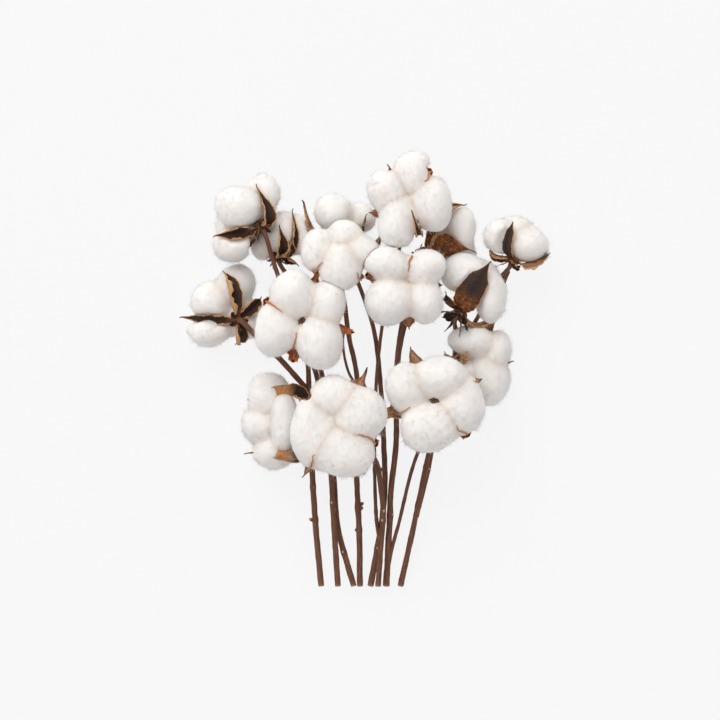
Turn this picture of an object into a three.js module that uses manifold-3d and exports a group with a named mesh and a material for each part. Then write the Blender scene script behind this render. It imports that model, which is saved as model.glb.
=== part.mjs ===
// A bunch of cut cotton stems with fifteen open bolls, lying on its back.
// Millimetres, +Z up. The stems run along Y with their cut ends at -Y, and the bolls are at +Y.
import * as THREE from "three";
import { mergeVertices } from "three/addons/utils/BufferGeometryUtils.js";
import Module from "manifold-3d";

const wasm = await Module();
wasm.setup();

// Driving dimensions: widths of a valve are half-widths, and its bend is the control point that its keel
// is drawn towards on the way from the receptacle to the tip
const GAP = 0.3;
const BUNCH_MIDDLE = new THREE.Vector3(-0.27, 0.79, 0);
const CUT_END_Y = -144.4;
const FLOOR_SIZE = 400;
const STEM_SIDES = 5;
const STEM_STEP = 16;
const STEM_LEAST_STEPS = 4;
const PEDICEL_LENGTH = 3;
const VALVE_WIDTH = 3.6;
const VALVE_BASE_WIDTH = 1.4;
const VALVE_TIP_WIDTH = 0.5;
const VALVE_FULLNESS = 0.8;
const VALVE_WIDEST_SHIFT = 0.85;
const VALVE_KEEL_THICKNESS = 1.8;
const VALVE_RIM_THICKNESS = 1.1;
const VALVE_DISH = -0.4;
const VALVE_DIP = 5;
const VALVE_BEND = 0.8;
const VALVE_STATIONS = 3;
const VALVE_ROOM_DEPTH = VALVE_KEEL_THICKNESS / 2 + 2 * GAP;
const VALVE_ROOM_SIDE = 4 * GAP;
const VALVE_FOOT_RADIUS = 3.6;
const RECEPTACLE_SIDES = 6;
const RECEPTACLE_SEAT = -3;
// Radius and height of the receptacle's outline, from its seat on the stem up to its flat top
const RECEPTACLE_OUTLINE = [
  [0, RECEPTACLE_SEAT], [2.2, RECEPTACLE_SEAT], [5, 0], [4.2, 1.8], [0, 1.8],
];
const LOCK_DETAIL = 1;
const LOCK_LUMP = 0.03;
const LOCK_LUMP_WAVES = 3;
const LOCK_INWARD_STRETCH = 0.16;

// One record for each boll, in the order that decides which keeps its shape where two press together.
// at: the receptacle's middle; axis: the way the boll opens.
// locks: middle x, y, z, then half-size along x, y, z.
// valves: tip x, y, z, then what isn't as usual: its half-width, how far its keel dips, its dish (over 0
// where the hollow side faces the fibre, under 0 where it faces out) or its keel's bend.
const BOLLS = [
  {
    name: "n", at: [-42.7, 33.7, 51], axis: [0, 0, 1],
    locks: [
      [-48.7, 51, 65, 15.3, 15.3, 14], [-25.3, 45.7, 62, 12, 16.7, 13],
      [-60, 27.7, 63, 14, 18.7, 14], [-30.7, 17.7, 65, 16, 16, 15],
    ],
    valves: [
      { tip: [-68, 47, 67] }, { tip: [-32, 65.7, 66], width: 2.4 }, { tip: [-8.7, 25.7, 66], width: 3 },
      { tip: [-48.7, 5.7, 66], width: 4 },
    ],
  },
  {
    name: "l", at: [-18.7, -33, 48], axis: [0, 0, 1],
    locks: [
      [-34.4, -40.3, 60, 16.5, 24, 14], [-20.7, -16, 60, 15.6, 13.6, 14],
      [-1.8, -28, 62, 16.5, 17.6, 15], [-14, -54.5, 62, 19.3, 18, 15],
    ],
    valves: [
      { tip: [2.7, 1.7, 66], width: 5 }, { tip: [8, -49.7, 62], width: 4 },
      { tip: [-40.7, -69, 60], width: 3 }, { tip: [-38, -17.7, 66], width: 2.5 },
    ],
  },
  {
    name: "k", at: [46, -19.7, 46], axis: [0, 0, 1],
    locks: [
      [27.3, -11.7, 58, 14, 16.7, 14], [49.3, -3.7, 60, 18, 14.7, 15],
      [64.7, -22.3, 58, 14.7, 20, 15], [42, -39, 61, 20, 16, 15],
    ],
    valves: [
      { tip: [30, 15, 66], width: 5.5 }, { tip: [12, -29, 62], width: 4.5 },
      { tip: [68.7, -43.7, 60], width: 5.5 }, { tip: [76.7, -5.7, 62], width: 2.5 },
    ],
  },
  {
    name: "i", at: [28, 57, 50], axis: [0, 0, 1],
    locks: [
      [13.3, 71.7, 66, 14.7, 11, 13], [40.7, 69, 63, 13.3, 12, 13],
      [15.3, 45.7, 66, 15.7, 16.3, 15], [40, 45.7, 64, 11.3, 14.7, 14],
    ],
    valves: [
      { tip: [-0.3, 64, 64] }, { tip: [28.7, 29, 62], width: 3.5 }, { tip: [30.7, 77, 66], width: 2 },
      { tip: [50, 57, 54], width: 3 },
    ],
  },
  {
    name: "e", at: [28.7, 113, 48], axis: [0, 0.2, 0.97],
    locks: [
      [13, 119, 59, 12.5, 14, 13], [31.5, 132, 58, 12.5, 14, 13],
      [44, 111, 60, 14, 18, 14], [21.5, 98, 62, 14, 16.5, 14],
    ],
    valves: [
      { tip: [15.7, 135.3, 64], width: 2.5 }, { tip: [43.3, 134.3, 62], width: 4 },
      { tip: [3.3, 105.3, 62], width: 2.5 }, { tip: [30.7, 105.5, 75], width: 3.4, bend: [41, 74, 76] },
    ],
  },
  {
    name: "d", at: [-16.7, 75, 49], axis: [0, 0.25, 0.95],
    locks: [
      [-32.7, 79.7, 60, 10.7, 14.7, 12.5], [-14, 91.7, 59, 10.7, 9, 12],
      [-17.3, 67.7, 64, 14.7, 14.3, 14], [-2.7, 79.7, 60, 12.7, 10.7, 12.5],
    ],
    valves: [
      { tip: [-36, 67, 61], width: 3 }, { tip: [-3.5, 61, 62], width: 4.5 },
      { tip: [-33.5, 94, 58], width: 2 }, { tip: [-3, 92, 56], width: 2.5 },
    ],
  },
  {
    name: "h", at: [63.3, 39, 38], axis: [0.55, 0.75, -0.3],
    locks: [
      [66, 65.7, 38, 15.3, 13.3, 14], [84, 49, 36, 11.3, 17.3, 14], [76, 61, 26, 13, 13, 13],
    ],
    valves: [
      { tip: [82, 71.3, 51], width: 7.5, dish: 0.35 }, { tip: [53.5, 51, 44], width: 4.5, dish: 0.35 },
      { tip: [91, 41.5, 24], width: 3 },
    ],
  },
  {
    name: "j", at: [73, 5, 15], axis: [0.5, 0.3, 0.8],
    locks: [
      [69.3, 21, 29, 14.7, 11.3, 12], [83.3, -5.7, 17.5, 14.7, 18, 18.7],
      [88, 13, 22, 9, 14, 14], [65, -5, 25, 11, 12, 11],
    ],
    valves: [
      { tip: [53.3, 9, 33], width: 2.5 }, { tip: [88.7, 37, 34], width: 7, dish: 0.35 },
      { tip: [97, 6, 26], width: 2.5 }, { tip: [66.5, 9.5, 39], width: 4 },
    ],
  },
  {
    name: "a", at: [-70.7, 97, 43], axis: [-0.5, 0.8, -0.33],
    locks: [
      [-85.3, 109, 44, 15.3, 14.7, 14], [-89.3, 84.3, 36, 12.7, 12.7, 13],
      [-69.3, 115, 32, 11.3, 17.3, 14], [-86, 98, 16, 15, 15, 17.2],
    ],
    valves: [
      { tip: [-100, 90.3, 47], dip: 6 }, { tip: [-72.7, 122.3, 46], width: 3.8, dip: 8 },
      { tip: [-72, 126, 28], width: 2.2 }, { tip: [-96, 84, 20], width: 3 },
    ],
  },
  {
    name: "b", at: [-59.3, 77, 28], axis: [-0.3, 0.92, -0.28],
    locks: [
      [-56.7, 91, 28, 12, 14, 11], [-69, 84, 21, 8, 10, 11],
      [-44.5, 91, 24, 9.5, 13.3, 12], [-57, 96, 15, 13, 12, 13],
    ],
    valves: [
      { tip: [-57.6, 95.5, 42] }, { tip: [-49.5, 86.5, 39], width: 3 },
      { tip: [-46, 71.5, 26], width: 2.4 }, { tip: [-49.3, 106.3, 33], width: 2.4 },
    ],
  },
  {
    name: "c", at: [-14, 88, 26], axis: [0, 0.8, 0.4],
    locks: [
      [-22.7, 105.7, 34, 12.3, 11.3, 12], [-3, 102, 24, 10, 11, 11], [-15, 100, 15, 13, 12, 13],
    ],
    valves: [
      { tip: [-41, 111.5, 40], width: 3.2 }, { tip: [0, 103.5, 42], width: 5, dish: 0.35 },
      { tip: [9.5, 90, 37], width: 7 },
    ],
  },
  {
    name: "f", at: [41.3, 78, 34], axis: [0.75, 0.35, -0.5],
    locks: [
      [64, 93.7, 30, 10.3, 16.3, 13], [61, 79, 18, 13, 12, 14], [52, 97, 22, 12, 13, 13],
    ],
    valves: [
      { tip: [70, 78.7, 37], width: 8.5, dish: 0.35 },
      { tip: [65.5, 110.5, 36], width: 3.8, bend: [51, 112, 38] }, { tip: [54, 86, 8], width: 3.6 },
    ],
  },
  {
    name: "g", at: [98.7, 74.3, 28], axis: [0.45, 0.85, -0.27],
    locks: [
      [88.7, 90.3, 30, 10.7, 11.3, 12], [109.3, 84.3, 28, 13.3, 12, 13], [99, 92, 16, 13, 12, 17.2],
    ],
    valves: [
      { tip: [98, 98.5, 39], width: 4, dish: 0.35 }, { tip: [122, 77.5, 30], width: 5, dish: 0.35 },
      { tip: [83.3, 81.7, 25], width: 2.8 },
    ],
  },
  {
    name: "m", at: [-45, -36, 28], axis: [-0.8, 0, 0.35],
    locks: [
      [-64.7, -15, 28, 14, 14, 14], [-71, -35.7, 18, 12, 14.7, 19.2], [-62, -55.7, 26, 14, 10.7, 13],
      [-54, -33, 38, 9.3, 18, 11],
    ],
    valves: [
      { tip: [-60, -13, 42], width: 4.5, bend: [-38, -8, 36] },
      { tip: [-59.5, -56, 41], width: 4.5, bend: [-38, -63, 36] },
      { tip: [-79, -55, 28], width: 2.6 }, { tip: [-77, -20, 14], width: 3 },
    ],
  },
  {
    name: "o", at: [-86, 34, 32], axis: [-0.45, 0.1, -0.88],
    locks: [
      [-102.7, 46.3, 16, 14, 14.7, 17.2], [-86.7, 57.7, 18, 13.3, 14, 14],
      [-104.7, 25.7, 18, 15.3, 10, 14], [-80, 34, 17, 13, 13.5, 13],
    ],
    valves: [
      { tip: [-94.7, 65.5, 30], width: 3.8 }, { tip: [-86.7, 18.5, 22], width: 3.6 },
      { tip: [-70.7, 48, 28], width: 3.4 }, { tip: [-123, 36, 14], width: 2.6, bend: [-104, 34, 18] },
    ],
  },
];

// Stems and the branches that grew from them: the radius at the lower and upper end, the route up
// from the lower end, and the boll that the upper end carries.
const STEMS = [
  {
    name: "stem_01",
    limbs: [
      { radii: [2.1, 1.6], boll: "n", route: [[-30, CUT_END_Y, 5], [-33.5, -105, 9], [-36, -65.7, 14],
        [-38, -15.7, 24], [-38.6, 4, 32]] },
      { radii: [1.7, 1.4], boll: "m", route: [[-36.8, -56, 16.5], [-37.5, -46, 21]] },
      { radii: [1.9, 1.8], boll: "o", route: [[-38, -14, 24.5], [-44.7, -6.3, 28], [-57.3, 7.7, 31],
        [-72, 21.7, 36]] },
    ],
  },
  {
    name: "stem_02",
    limbs: [
      { radii: [2, 1.5], boll: "a", route: [[-18.7, CUT_END_Y, 10], [-22.3, -87.7, 14], [-23, -72.3, 16],
        [-33.3, -2.3, 18], [-46, 30, 24], [-60, 67.7, 38]] },
    ],
  },
  {
    name: "stem_03",
    limbs: [
      { radii: [2, 1.5], boll: "b", route: [[-8.1, CUT_END_Y, 6.6], [-18.7, -105, 7], [-21.3, -73, 9],
        [-29, -4.3, 11], [-41, 30, 15], [-52, 62, 25]] },
    ],
  },
  {
    name: "stem_04",
    limbs: [
      { radii: [2, 1.5], boll: "d", route: [[-4, CUT_END_Y, 7.6], [-4.4, -108.3, 13], [-6, -71, 18],
        [-6, -4.3, 30], [-11.3, 23, 38], [-14, 43.7, 41], [-16.5, 58, 41]] },
      { radii: [1, 0.7], route: [[-6.1, -10, 29.2], [-11.5, -1, 33.5], [-15.3, 19, 42],
        [-13, 32, 45.8], [-12, 39, 46.8]] },
    ],
  },
  {
    name: "stem_05",
    limbs: [
      { radii: [2.1, 1.3], boll: "c", route: [[3.3, CUT_END_Y, 5], [9.7, -108.3, 11], [11.3, -95.7, 13],
        [12.7, -77, 13.5], [12, -45.7, 14], [10.7, -19, 17], [5.3, 27.7, 22], [-4, 56, 22]] },
    ],
  },
  {
    name: "stem_06",
    limbs: [
      { radii: [2, 1.6], boll: "l", route: [[8.2, CUT_END_Y, 13], [9.7, -121.7, 15], [11.7, -94.3, 19],
        [9.3, -72.3, 25], [7.3, -62.3, 29], [-3, -46, 35]] },
      { radii: [1.2, 1.1], boll: "e", route: [[10, -118, 15.4], [7.6, -104, 14.5], [6, -70.3, 17],
        [6.7, -13, 25], [10.7, 27.7, 31], [17, 60, 36], [25, 92, 40]] },
    ],
  },
  {
    name: "stem_07",
    limbs: [
      { radii: [2.2, 1.6], boll: "i", route: [[13.8, CUT_END_Y, 6], [15.8, -105, 12], [17, -78.3, 16],
        [20.3, -49.7, 20], [20.7, 3.7, 34], [24.5, 34, 39]] },
      { radii: [1.5, 1.3], boll: "f", route: [[20.7, -4, 31.8], [23, 16, 32], [30, 44, 32], [36, 64, 34]] },
      { radii: [1.2, 1.2], boll: "j", route: [[13.9, -139, 6.4], [17.4, -120, 10], [22, -103, 12],
        [34.7, -55.7, 14], [52, -26, 10], [63.5, -6.5, 7.4]] },
    ],
  },
  {
    name: "stem_09",
    limbs: [
      { radii: [2, 1.6], boll: "k", route: [[23.3, CUT_END_Y, 5], [31.3, -108.3, 11], [42, -55.7, 24],
        [46, -36, 33]] },
      { radii: [1.7, 1.4], boll: "h", route: [[42.8, -52, 25.6], [48, -30, 20], [56, -10, 13], [59.3, 8, 12],
        [60.3, 24, 18]] },
      { radii: [1.6, 1.4], boll: "g", route: [[34, -98, 13.4], [42, -66, 9], [50, -22, 4.5], [70, 26, 5],
        [83, 49.5, 11], [89, 61, 19]] },
      { radii: [1.9, 1.7], route: [[91.3, 57.7, 16], [95, 66.5, 25]] },
    ],
  },
];

const COTTON = new THREE.MeshStandardMaterial({ color: 0xf4f1f0, roughness: 0.95, metalness: 0 });
const BUR = new THREE.MeshStandardMaterial({ color: 0x5a3520, roughness: 0.7, metalness: 0 });
const BARK = new THREE.MeshStandardMaterial({ color: 0x704c3b, roughness: 0.8, metalness: 0 });

const vector = (list) => new THREE.Vector3(...list);

// A closed three.js geometry as a solid that can be joined and cut
function solidOf(geometry) {
  const bare = geometry.clone();
  bare.deleteAttribute("normal");
  bare.deleteAttribute("uv");
  const merged = mergeVertices(bare, 1e-4);
  const vertProperties = new Float32Array(merged.attributes.position.array);
  const triVerts = new Uint32Array(merged.index.array);
  return new wasm.Manifold(new wasm.Mesh({ numProp: 3, vertProperties, triVerts }));
}

function geometryOf(solid) {
  const mesh = solid.getMesh();
  const geometry = new THREE.BufferGeometry();
  geometry.setAttribute("position", new THREE.BufferAttribute(mesh.vertProperties, 3));
  geometry.setIndex(new THREE.BufferAttribute(mesh.triVerts, 1));
  geometry.computeVertexNormals();
  return geometry;
}

const joined = (solids) => solids.reduce((sum, solid) => sum.add(solid));
const cutBy = (solid, cutters) => cutters.reduce((rest, cutter) => rest.subtract(cutter), solid);

// A cut can leave crumbs beside the piece: only the largest body is the piece
function largestBody(solid) {
  return solid.decompose().reduce((best, body) => (body.volume() > best.volume() ? body : best));
}

// Moves each vertex of a geometry to where place(x, y, z) puts it
function reshape(geometry, place) {
  const position = geometry.attributes.position;
  for (let i = 0; i < position.count; i++) {
    const moved = place(position.getX(i), position.getY(i), position.getZ(i));
    position.setXYZ(i, moved.x, moved.y, moved.z);
  }
  return geometry;
}

// A lock of fibre: a lumpy pillow, drawn out on the side that meets the other locks of its boll
function lockSolid([x, y, z, halfX, halfY, halfZ], at, axis, grow) {
  const half = new THREE.Vector3(halfX, halfY, halfZ);
  const inward = at.clone().sub(new THREE.Vector3(x, y, z));
  inward.addScaledVector(axis, -inward.dot(axis)).normalize();
  const pillow = new THREE.IcosahedronGeometry(1, LOCK_DETAIL);
  return solidOf(reshape(pillow, (ux, uy, uz) => {
    const way = new THREE.Vector3(ux, uy, uz);
    const wave = (part, start) => Math.sin(LOCK_LUMP_WAVES * part + start);
    const lump = 1 + LOCK_LUMP * (wave(ux, x) + wave(uy, y) + wave(uz, z));
    const stretch = 1 + LOCK_INWARD_STRETCH * Math.max(way.dot(inward), 0) ** 2;
    const reach = way.clone().multiply(half).multiplyScalar(lump * stretch).addScaledVector(way, grow);
    return new THREE.Vector3(x, y, z).add(reach);
  }));
}

function cottonSolid(boll, grow) {
  const axis = vector(boll.axis).normalize();
  return joined(boll.locks.map((lock) => lockSolid(lock, vector(boll.at), axis, grow)));
}

// A valve of the bur: a thin blade that is hollow on one side, bent up to its pointed tip. Its room is
// the plain slab that it fits in.
function valveSolid(valve, at, axis, room) {
  const { width: halfWidth = VALVE_WIDTH, dip = VALVE_DIP, dish = VALVE_DISH } = valve;
  const tip = vector(valve.tip);
  const reach = tip.clone().sub(at);
  const outward = reach.clone().addScaledVector(axis, -reach.dot(axis));
  const bend = valve.bend
    ? vector(valve.bend)
    : at.clone().addScaledVector(outward, VALVE_BEND).addScaledVector(axis, -dip);
  outward.normalize();
  const foot = at.clone().addScaledVector(outward, VALVE_FOOT_RADIUS);
  const keel = new THREE.QuadraticBezierCurve3(foot, bend, tip);
  const across = new THREE.Vector3().crossVectors(axis, outward).normalize();
  const blade = new THREE.BoxGeometry(2, 1, 1, room ? 1 : 2, VALVE_STATIONS, 1);
  return solidOf(reshape(blade, (side, along, face) => {
    const u = along + 0.5;
    const tangent = keel.getTangent(u);
    const inward = new THREE.Vector3().crossVectors(tangent, across).normalize();
    const belly = halfWidth * Math.sin(Math.PI * u ** VALVE_WIDEST_SHIFT) ** VALVE_FULLNESS;
    const width = VALVE_BASE_WIDTH * (1 - u) + belly + VALVE_TIP_WIDTH;
    const rise = dish * width;
    const rim = Math.abs(side);
    const thickness = THREE.MathUtils.lerp(VALVE_KEEL_THICKNESS, VALVE_RIM_THICKNESS, Math.max(rim, u));
    const lift = room
      ? (face > 0 ? Math.min(rise, 0) - VALVE_ROOM_DEPTH : Math.max(rise, 0) + VALVE_ROOM_DEPTH)
      : rise * rim - face * thickness;
    return keel.getPoint(u)
      .addScaledVector(across, side * (width + (room ? VALVE_ROOM_SIDE : 0)))
      .addScaledVector(inward, lift)
      .addScaledVector(tangent, room ? 2 * (u - 0.5) * GAP : 0);
  }));
}

function receptacleSolid(at, axis, grow) {
  const outline = RECEPTACLE_OUTLINE.map(([radius, height]) =>
    new THREE.Vector2(radius > 0 ? radius + grow : 0, height + Math.sign(height) * grow));
  const lathe = new THREE.LatheGeometry(outline, RECEPTACLE_SIDES);
  lathe.applyQuaternion(new THREE.Quaternion().setFromUnitVectors(new THREE.Vector3(0, 1, 0), axis));
  lathe.translate(at.x, at.y, at.z);
  return solidOf(lathe);
}

function burSolid(boll, room) {
  const at = vector(boll.at);
  const axis = vector(boll.axis).normalize();
  const valves = boll.valves.map((valve) => valveSolid(valve, at, axis, room));
  return joined([receptacleSolid(at, axis, room ? GAP : 0), ...valves]);
}

// A woody limb along its route, tapering upwards. With a boll it ends in a short pedicel that runs
// up the boll's axis to the seat under the receptacle.
function limbSolid({ radii, route, boll }, grow) {
  const points = route.map(vector);
  if (boll) {
    const { at, axis } = BOLLS.find(({ name }) => name === boll);
    const way = vector(axis).normalize();
    const seat = vector(at).addScaledVector(way, RECEPTACLE_SEAT - GAP);
    points.push(seat.clone().addScaledVector(way, -PEDICEL_LENGTH), seat);
  }
  const path = new THREE.CatmullRomCurve3(points, false, "centripetal");
  const steps = Math.max(STEM_LEAST_STEPS, Math.round(path.getLength() / STEM_STEP));
  const frames = path.computeFrenetFrames(steps);
  const rod = new THREE.CylinderGeometry(1, 1, 1, STEM_SIDES, steps);
  return solidOf(reshape(rod, (x, y, z) => {
    const u = y + 0.5;
    const step = Math.round(u * steps);
    const radius = Math.hypot(x, z) * (THREE.MathUtils.lerp(radii[0], radii[1], u) + grow);
    const turn = Math.atan2(z, x);
    return path.getPointAt(u)
      .addScaledVector(frames.binormals[step], radius * Math.cos(turn))
      .addScaledVector(frames.normals[step], radius * Math.sin(turn))
      .addScaledVector(frames.tangents[step], 2 * (u - 0.5) * grow);
  }));
}

const stemSolid = (stem, grow) => joined(stem.limbs.map((limb) => limbSolid(limb, grow)));

const floor = solidOf(new THREE.BoxGeometry(FLOOR_SIZE, FLOOR_SIZE, FLOOR_SIZE)
  .translate(0, 0, -FLOOR_SIZE / 2));

const bunch = new THREE.Group();
bunch.position.copy(BUNCH_MIDDLE).negate();

function addPiece(name, solid, material) {
  const piece = new THREE.Mesh(geometryOf(solid), material);
  piece.name = name;
  bunch.add(piece);
}

for (const stem of STEMS) addPiece(stem.name, stemSolid(stem, 0), BARK);

// Each bur is clear of the stems and of the burs before it, and each boll's fibre of everything before it
const around = STEMS.map((stem) => stemSolid(stem, GAP));
for (const boll of BOLLS) {
  addPiece("bur_" + boll.name, largestBody(cutBy(burSolid(boll, false), [...around, floor])), BUR);
  around.push(burSolid(boll, true));
}
for (const boll of BOLLS) {
  addPiece("cotton_" + boll.name, largestBody(cutBy(cottonSolid(boll, 0), [...around, floor])), COTTON);
  around.push(cottonSolid(boll, GAP));
}

export default bunch;
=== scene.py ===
import math

import bmesh
import bpy
import numpy as np
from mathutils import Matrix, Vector


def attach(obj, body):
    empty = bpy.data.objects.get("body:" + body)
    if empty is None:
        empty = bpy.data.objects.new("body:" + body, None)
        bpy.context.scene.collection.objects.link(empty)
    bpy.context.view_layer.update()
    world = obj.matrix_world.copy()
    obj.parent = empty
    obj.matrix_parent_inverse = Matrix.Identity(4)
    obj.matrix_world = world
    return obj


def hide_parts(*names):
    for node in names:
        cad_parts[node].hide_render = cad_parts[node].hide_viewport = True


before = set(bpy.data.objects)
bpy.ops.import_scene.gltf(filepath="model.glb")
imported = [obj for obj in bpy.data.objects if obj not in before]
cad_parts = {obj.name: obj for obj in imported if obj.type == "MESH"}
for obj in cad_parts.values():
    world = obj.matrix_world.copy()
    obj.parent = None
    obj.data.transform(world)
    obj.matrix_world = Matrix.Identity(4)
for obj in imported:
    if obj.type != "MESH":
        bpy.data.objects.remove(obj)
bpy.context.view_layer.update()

# All tables and shapes are in millimetres. The bolls and stems have the numbers of the CAD source, and
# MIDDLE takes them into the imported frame.
MIDDLE = np.array([-0.27, 0.79, 0.0])
METRES = 0.001

# Locks of fibre
LOCK_LUMP = 0.03
LOCK_LUMP_WAVES = 3
LOCK_INWARD_STRETCH = 0.16
LOCK_SUBDIVISIONS = 6
LOCK_FINE_RELIEF, LOCK_FINE_WAVES = 0.06, (2.5, 7)
LOCK_BROAD_RELIEF, LOCK_BROAD_WAVES = 0.45, (14, 34)
LOCK_GAP = 0.3
CREASE_REACH = 6.0
CREASE_STEPS = 8
CREASE_STEP_SHARE = 0.8
CREASE_DRAW_IN = 0.3
FLOOR_CLEARANCE = 0.15
PRESS_STEPS = 14
SKIN_CELL = 1.1
SKIN_SMOOTHING = 6
# Painted shade on the locks: how strong it is where two locks meet, how much deeper in the middle of a boll
# that faces the view, how strong a beige tint beside a valve is, and how widely each fades
CREASE_PAINTED_SHADE, CREASE_WIDTH = 0.45, 3.0
MIDDLE_PAINTED_SHADE, MIDDLE_WIDTH = 0.8, 7.0
VALVE_TONE, VALVE_TONE_START, VALVE_TONE_WIDTH = 0.35, 2.0, 2.0
# The most painted shade and tint together, and how upright a boll's axis is to count as facing the view
MOST_SHADE_AND_TINT = 0.8
FRONT_AXIS_Z = 0.9

# Loose fibres on the locks: how many to a square millimetre, and their sizes
FIBRE_DENSITY = 0.34
STRAY_DENSITY = 0.2
FIBRE_RADIUS = 0.065
FIBRE_LENGTH = (0.8, 2.2)
STRAY_LENGTH = (2.0, 5.0)
FIBRE_ROOT_DEPTH = 0.15
FIBRE_LEAN = (20, 86)
# Fibres follow a flow over the skin with waves of these lengths, apart from their own disorder
FLOW_WAVES, FIBRE_DISORDER = (9, 30), 0.7
STRAY_BEND = 0.6
STRAND_TAPER = 0.3
# Fibres grow only where the skin is clear of the other bolls' locks and of the surface
SHOWN_GAP, SHOWN_HEIGHT = 0.8, 0.6
# Tufts of lint: fibres for a millimetre of spread, how close they sit, their form and their colour
LINT_COUNT = 45
LINT_SPREAD = 0.35
LINT_LENGTH = (1.2, 3.0)
LINT_RISE, LINT_BEND = 0.5, 0.9
LINT_TONE, LINT_DIRT_SHARE = 0.3, (0.6, 1)

# Valves of the burs
VALVE_BASE_WIDTH = 1.4
VALVE_TIP_WIDTH = 0.5
VALVE_FULLNESS = 0.8
VALVE_WIDEST_SHIFT = 0.85
FORK_WIDTH = 0.8
FORK_DISH = 0.5
VALVE_BEND = 0.8
VALVE_FOOT_RADIUS = 3.6
VALVE_KEEL_THICKNESS = 1.2
VALVE_RIM_THICKNESS = 0.5
VALVE_STATIONS = 30
VALVE_BODY = 0.67
# A valve presses in a lock's points up to VALVE_REACH from it, in a box VALVE_ROOM wider than its path,
# and past its ends by STATION_REACH. No fibre grows COVER_MARGIN beside it or COVER_LIFT over it.
VALVE_REACH = 9.0
VALVE_ROOM = 12
STATION_REACH = 1.5
COVER_MARGIN, COVER_LIFT = 0.6, 2.5
# Where along a valve its twist is complete, and a fork's dish, width and flatter rims come in
TWIST_END = 0.3
FORK_DISH_FADE = (0.4, 0.9)
FORK_WIDTH_FADE = (0.3, 0.6)
FORK_ROLL_FADE, FORK_UNROLL = (0.5, 0.95), 0.7
# Across a blade, from its keel to its rim: where each column of points is, and where the rim rolls back
COLUMNS = np.array([0, 0.12, 0.28, 0.44, 0.6, 0.7, 0.78, 0.86, 0.93, 1.0])
ROLL_START = 0.66
ROLL_TURN = 2.5
BOAT_ROLL_TURN = 1.5
RIM_FADE = 2.5
# For a blade that is hollow to the fibre, and for a folded one: its rim's radius as a share of the width
# and at most, how round its hollow is, and how much its width waves
RIM_SHARE = (0.12, 0.22)
RIM_MOST = (0.6, 0.9)
HOLLOW_POWER = (1.5, 1.15)
WIDTH_WAVE = (0.025, 0.06)
# Waves along a rim: size and pace, first of how far it rolls, then of where it is. The second kind also
# run across the blade, and are smaller where its half-width is under WAVE_WIDTH.
ROLL_WAVES = ((0.22, 0.5), (0.12, 1.4))
RIM_WAVES = ((0.3, 1.6), (0.2, 3.7), (0.15, 7.3))
WAVE_ALONG, WAVE_ACROSS, WAVE_WIDTH = 0.8, 2, 4
# Where a blade is narrow it is no thicker than TIP_THICKNESS and a share of its half-width together
TIP_THICKNESS, THICKNESS_SHARE = 0.25, 0.6
# How much of the lean the broader and the narrower rim take
LEAN_BROADER, LEAN_NARROWER = 1.2, 0.6
# Where across a blade the two prongs of a fork and its middle prong are, and where along it they begin
PRONG_PLACE, PRONG_SPREAD = 0.82, 0.13
MIDDLE_PRONG_SPREAD = 0.2
PRONG_START = 0.6
# The rib along the keel: its height inside and out, its spread, and the half-width that it is whole at
KEEL_RIB, KEEL_RIB_OUTSIDE, KEEL_RIB_SPREAD, KEEL_RIB_WIDTH = 0.5, -0.3, 0.1, 3
SPINE_STATIONS = 8
SPINE_CURL, SPINE_LENGTHS, SPINE_LEAN = (0.5, 1.3), (0.85, 1.15), (-0.5, 0.5)
SPINE_TIP, SPINE_TAPER = 0.12, 0.8
# A ridge starts at this station of its valve. It looks for the lowest ground at RIDGE_TRIES places up to
# RIDGE_SEARCH to each side, where straying costs a little, and wanders and falls by RIDGE_SLOPE at most.
RIDGE_STATION, RIDGE_START = -5, -0.5
RIDGE_SEARCH, RIDGE_TRIES = 5, 21
STRAYING_COST, NO_WAY = 0.05, 99
RIDGE_LIFT = 0.55
RIDGE_SLOPE = 0.6
RIDGE_SIDES = 8
RIDGE_HALF, RIDGE_TIP, RIDGE_TAPER, RIDGE_HEIGHT = 0.6, 0.25, 1.2, 1.3
HEIGHT_CELL = 0.8
# What a part of a bur is, as its material reads it: its kind, and for a part that isn't a blade also
# whether it is inside, how near a rim and how far up
LEAFY, POINTED, FORKED = 0.0, 0.5, 1.0
RIDGE_PARTS = 1.0, 0.1, 0.5
RECEPTACLE_PARTS = 0.0, 0.4, 0.0
# The third number of a grain sets parts apart. It starts again after this many of them.
BUR_GRAINS, BARK_GRAINS, MARK_GRAINS = 97, 89, 83

# The receptacle's profile along its axis, and the leaves of the calyx: for each kind, its length,
# half-width, droop and twist, and where on the receptacle it starts
RECEPTACLE_HEIGHTS = np.array([-3.0, -2.9, -2.0, -1.0, 0.0, 0.9, 1.6, 1.8])
RECEPTACLE_RADII = np.array([1.6, 2.2, 3.2, 4.3, 5.0, 5.0, 4.2, 2.4])
RECEPTACLE_SIDES, RECEPTACLE_KNOBS, RECEPTACLE_KNOB = 20, 5, 0.07
RECEPTACLE_GRAIN = 7.0
SEPALS, BRACTS = 5, 3
SEPAL = dict(length=(5, 7.5), half=(1.7, 2.5), droop=(-0.5, 0.5), twist=(-0.8, 0.8), low=-1.9, out=3.0)
BRACT = dict(length=(7, 10), half=(0.6, 1.0), droop=(-0.9, 0.3), twist=(-1.6, 1.6), low=-2.6, out=2.0)
BRACT_MOST_SIZE = 1.1
BRACT_TONE = 0.35
LEAF_STATIONS, LEAF_THICKNESS = 14, (0.45, 0.3)
LEAF_DISH, LEAF_ROLL, LEAF_SWAY = (-0.3, 0.5), (0.3, 1.6), (-1.5, 1.5)
LEAF_CRUMPLE, CRUMPLE_PACE, CRUMPLE_START = 0.5, (6, 10), (0, 6)
CALYX_LOWEST = 2
# The dried remains in the middle of a boll: small flaps that droop to all sides
CORE_FLAPS, CORE_STATIONS, CORE_THICKNESS = 5, 8, (0.5, 0.35)
CORE_LIFT, CORE_START, CORE_LENGTH = 1.3, 0.2, (1.6, 3.2)
CORE_DISH, CORE_ROLL = -0.5, 0.6
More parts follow.
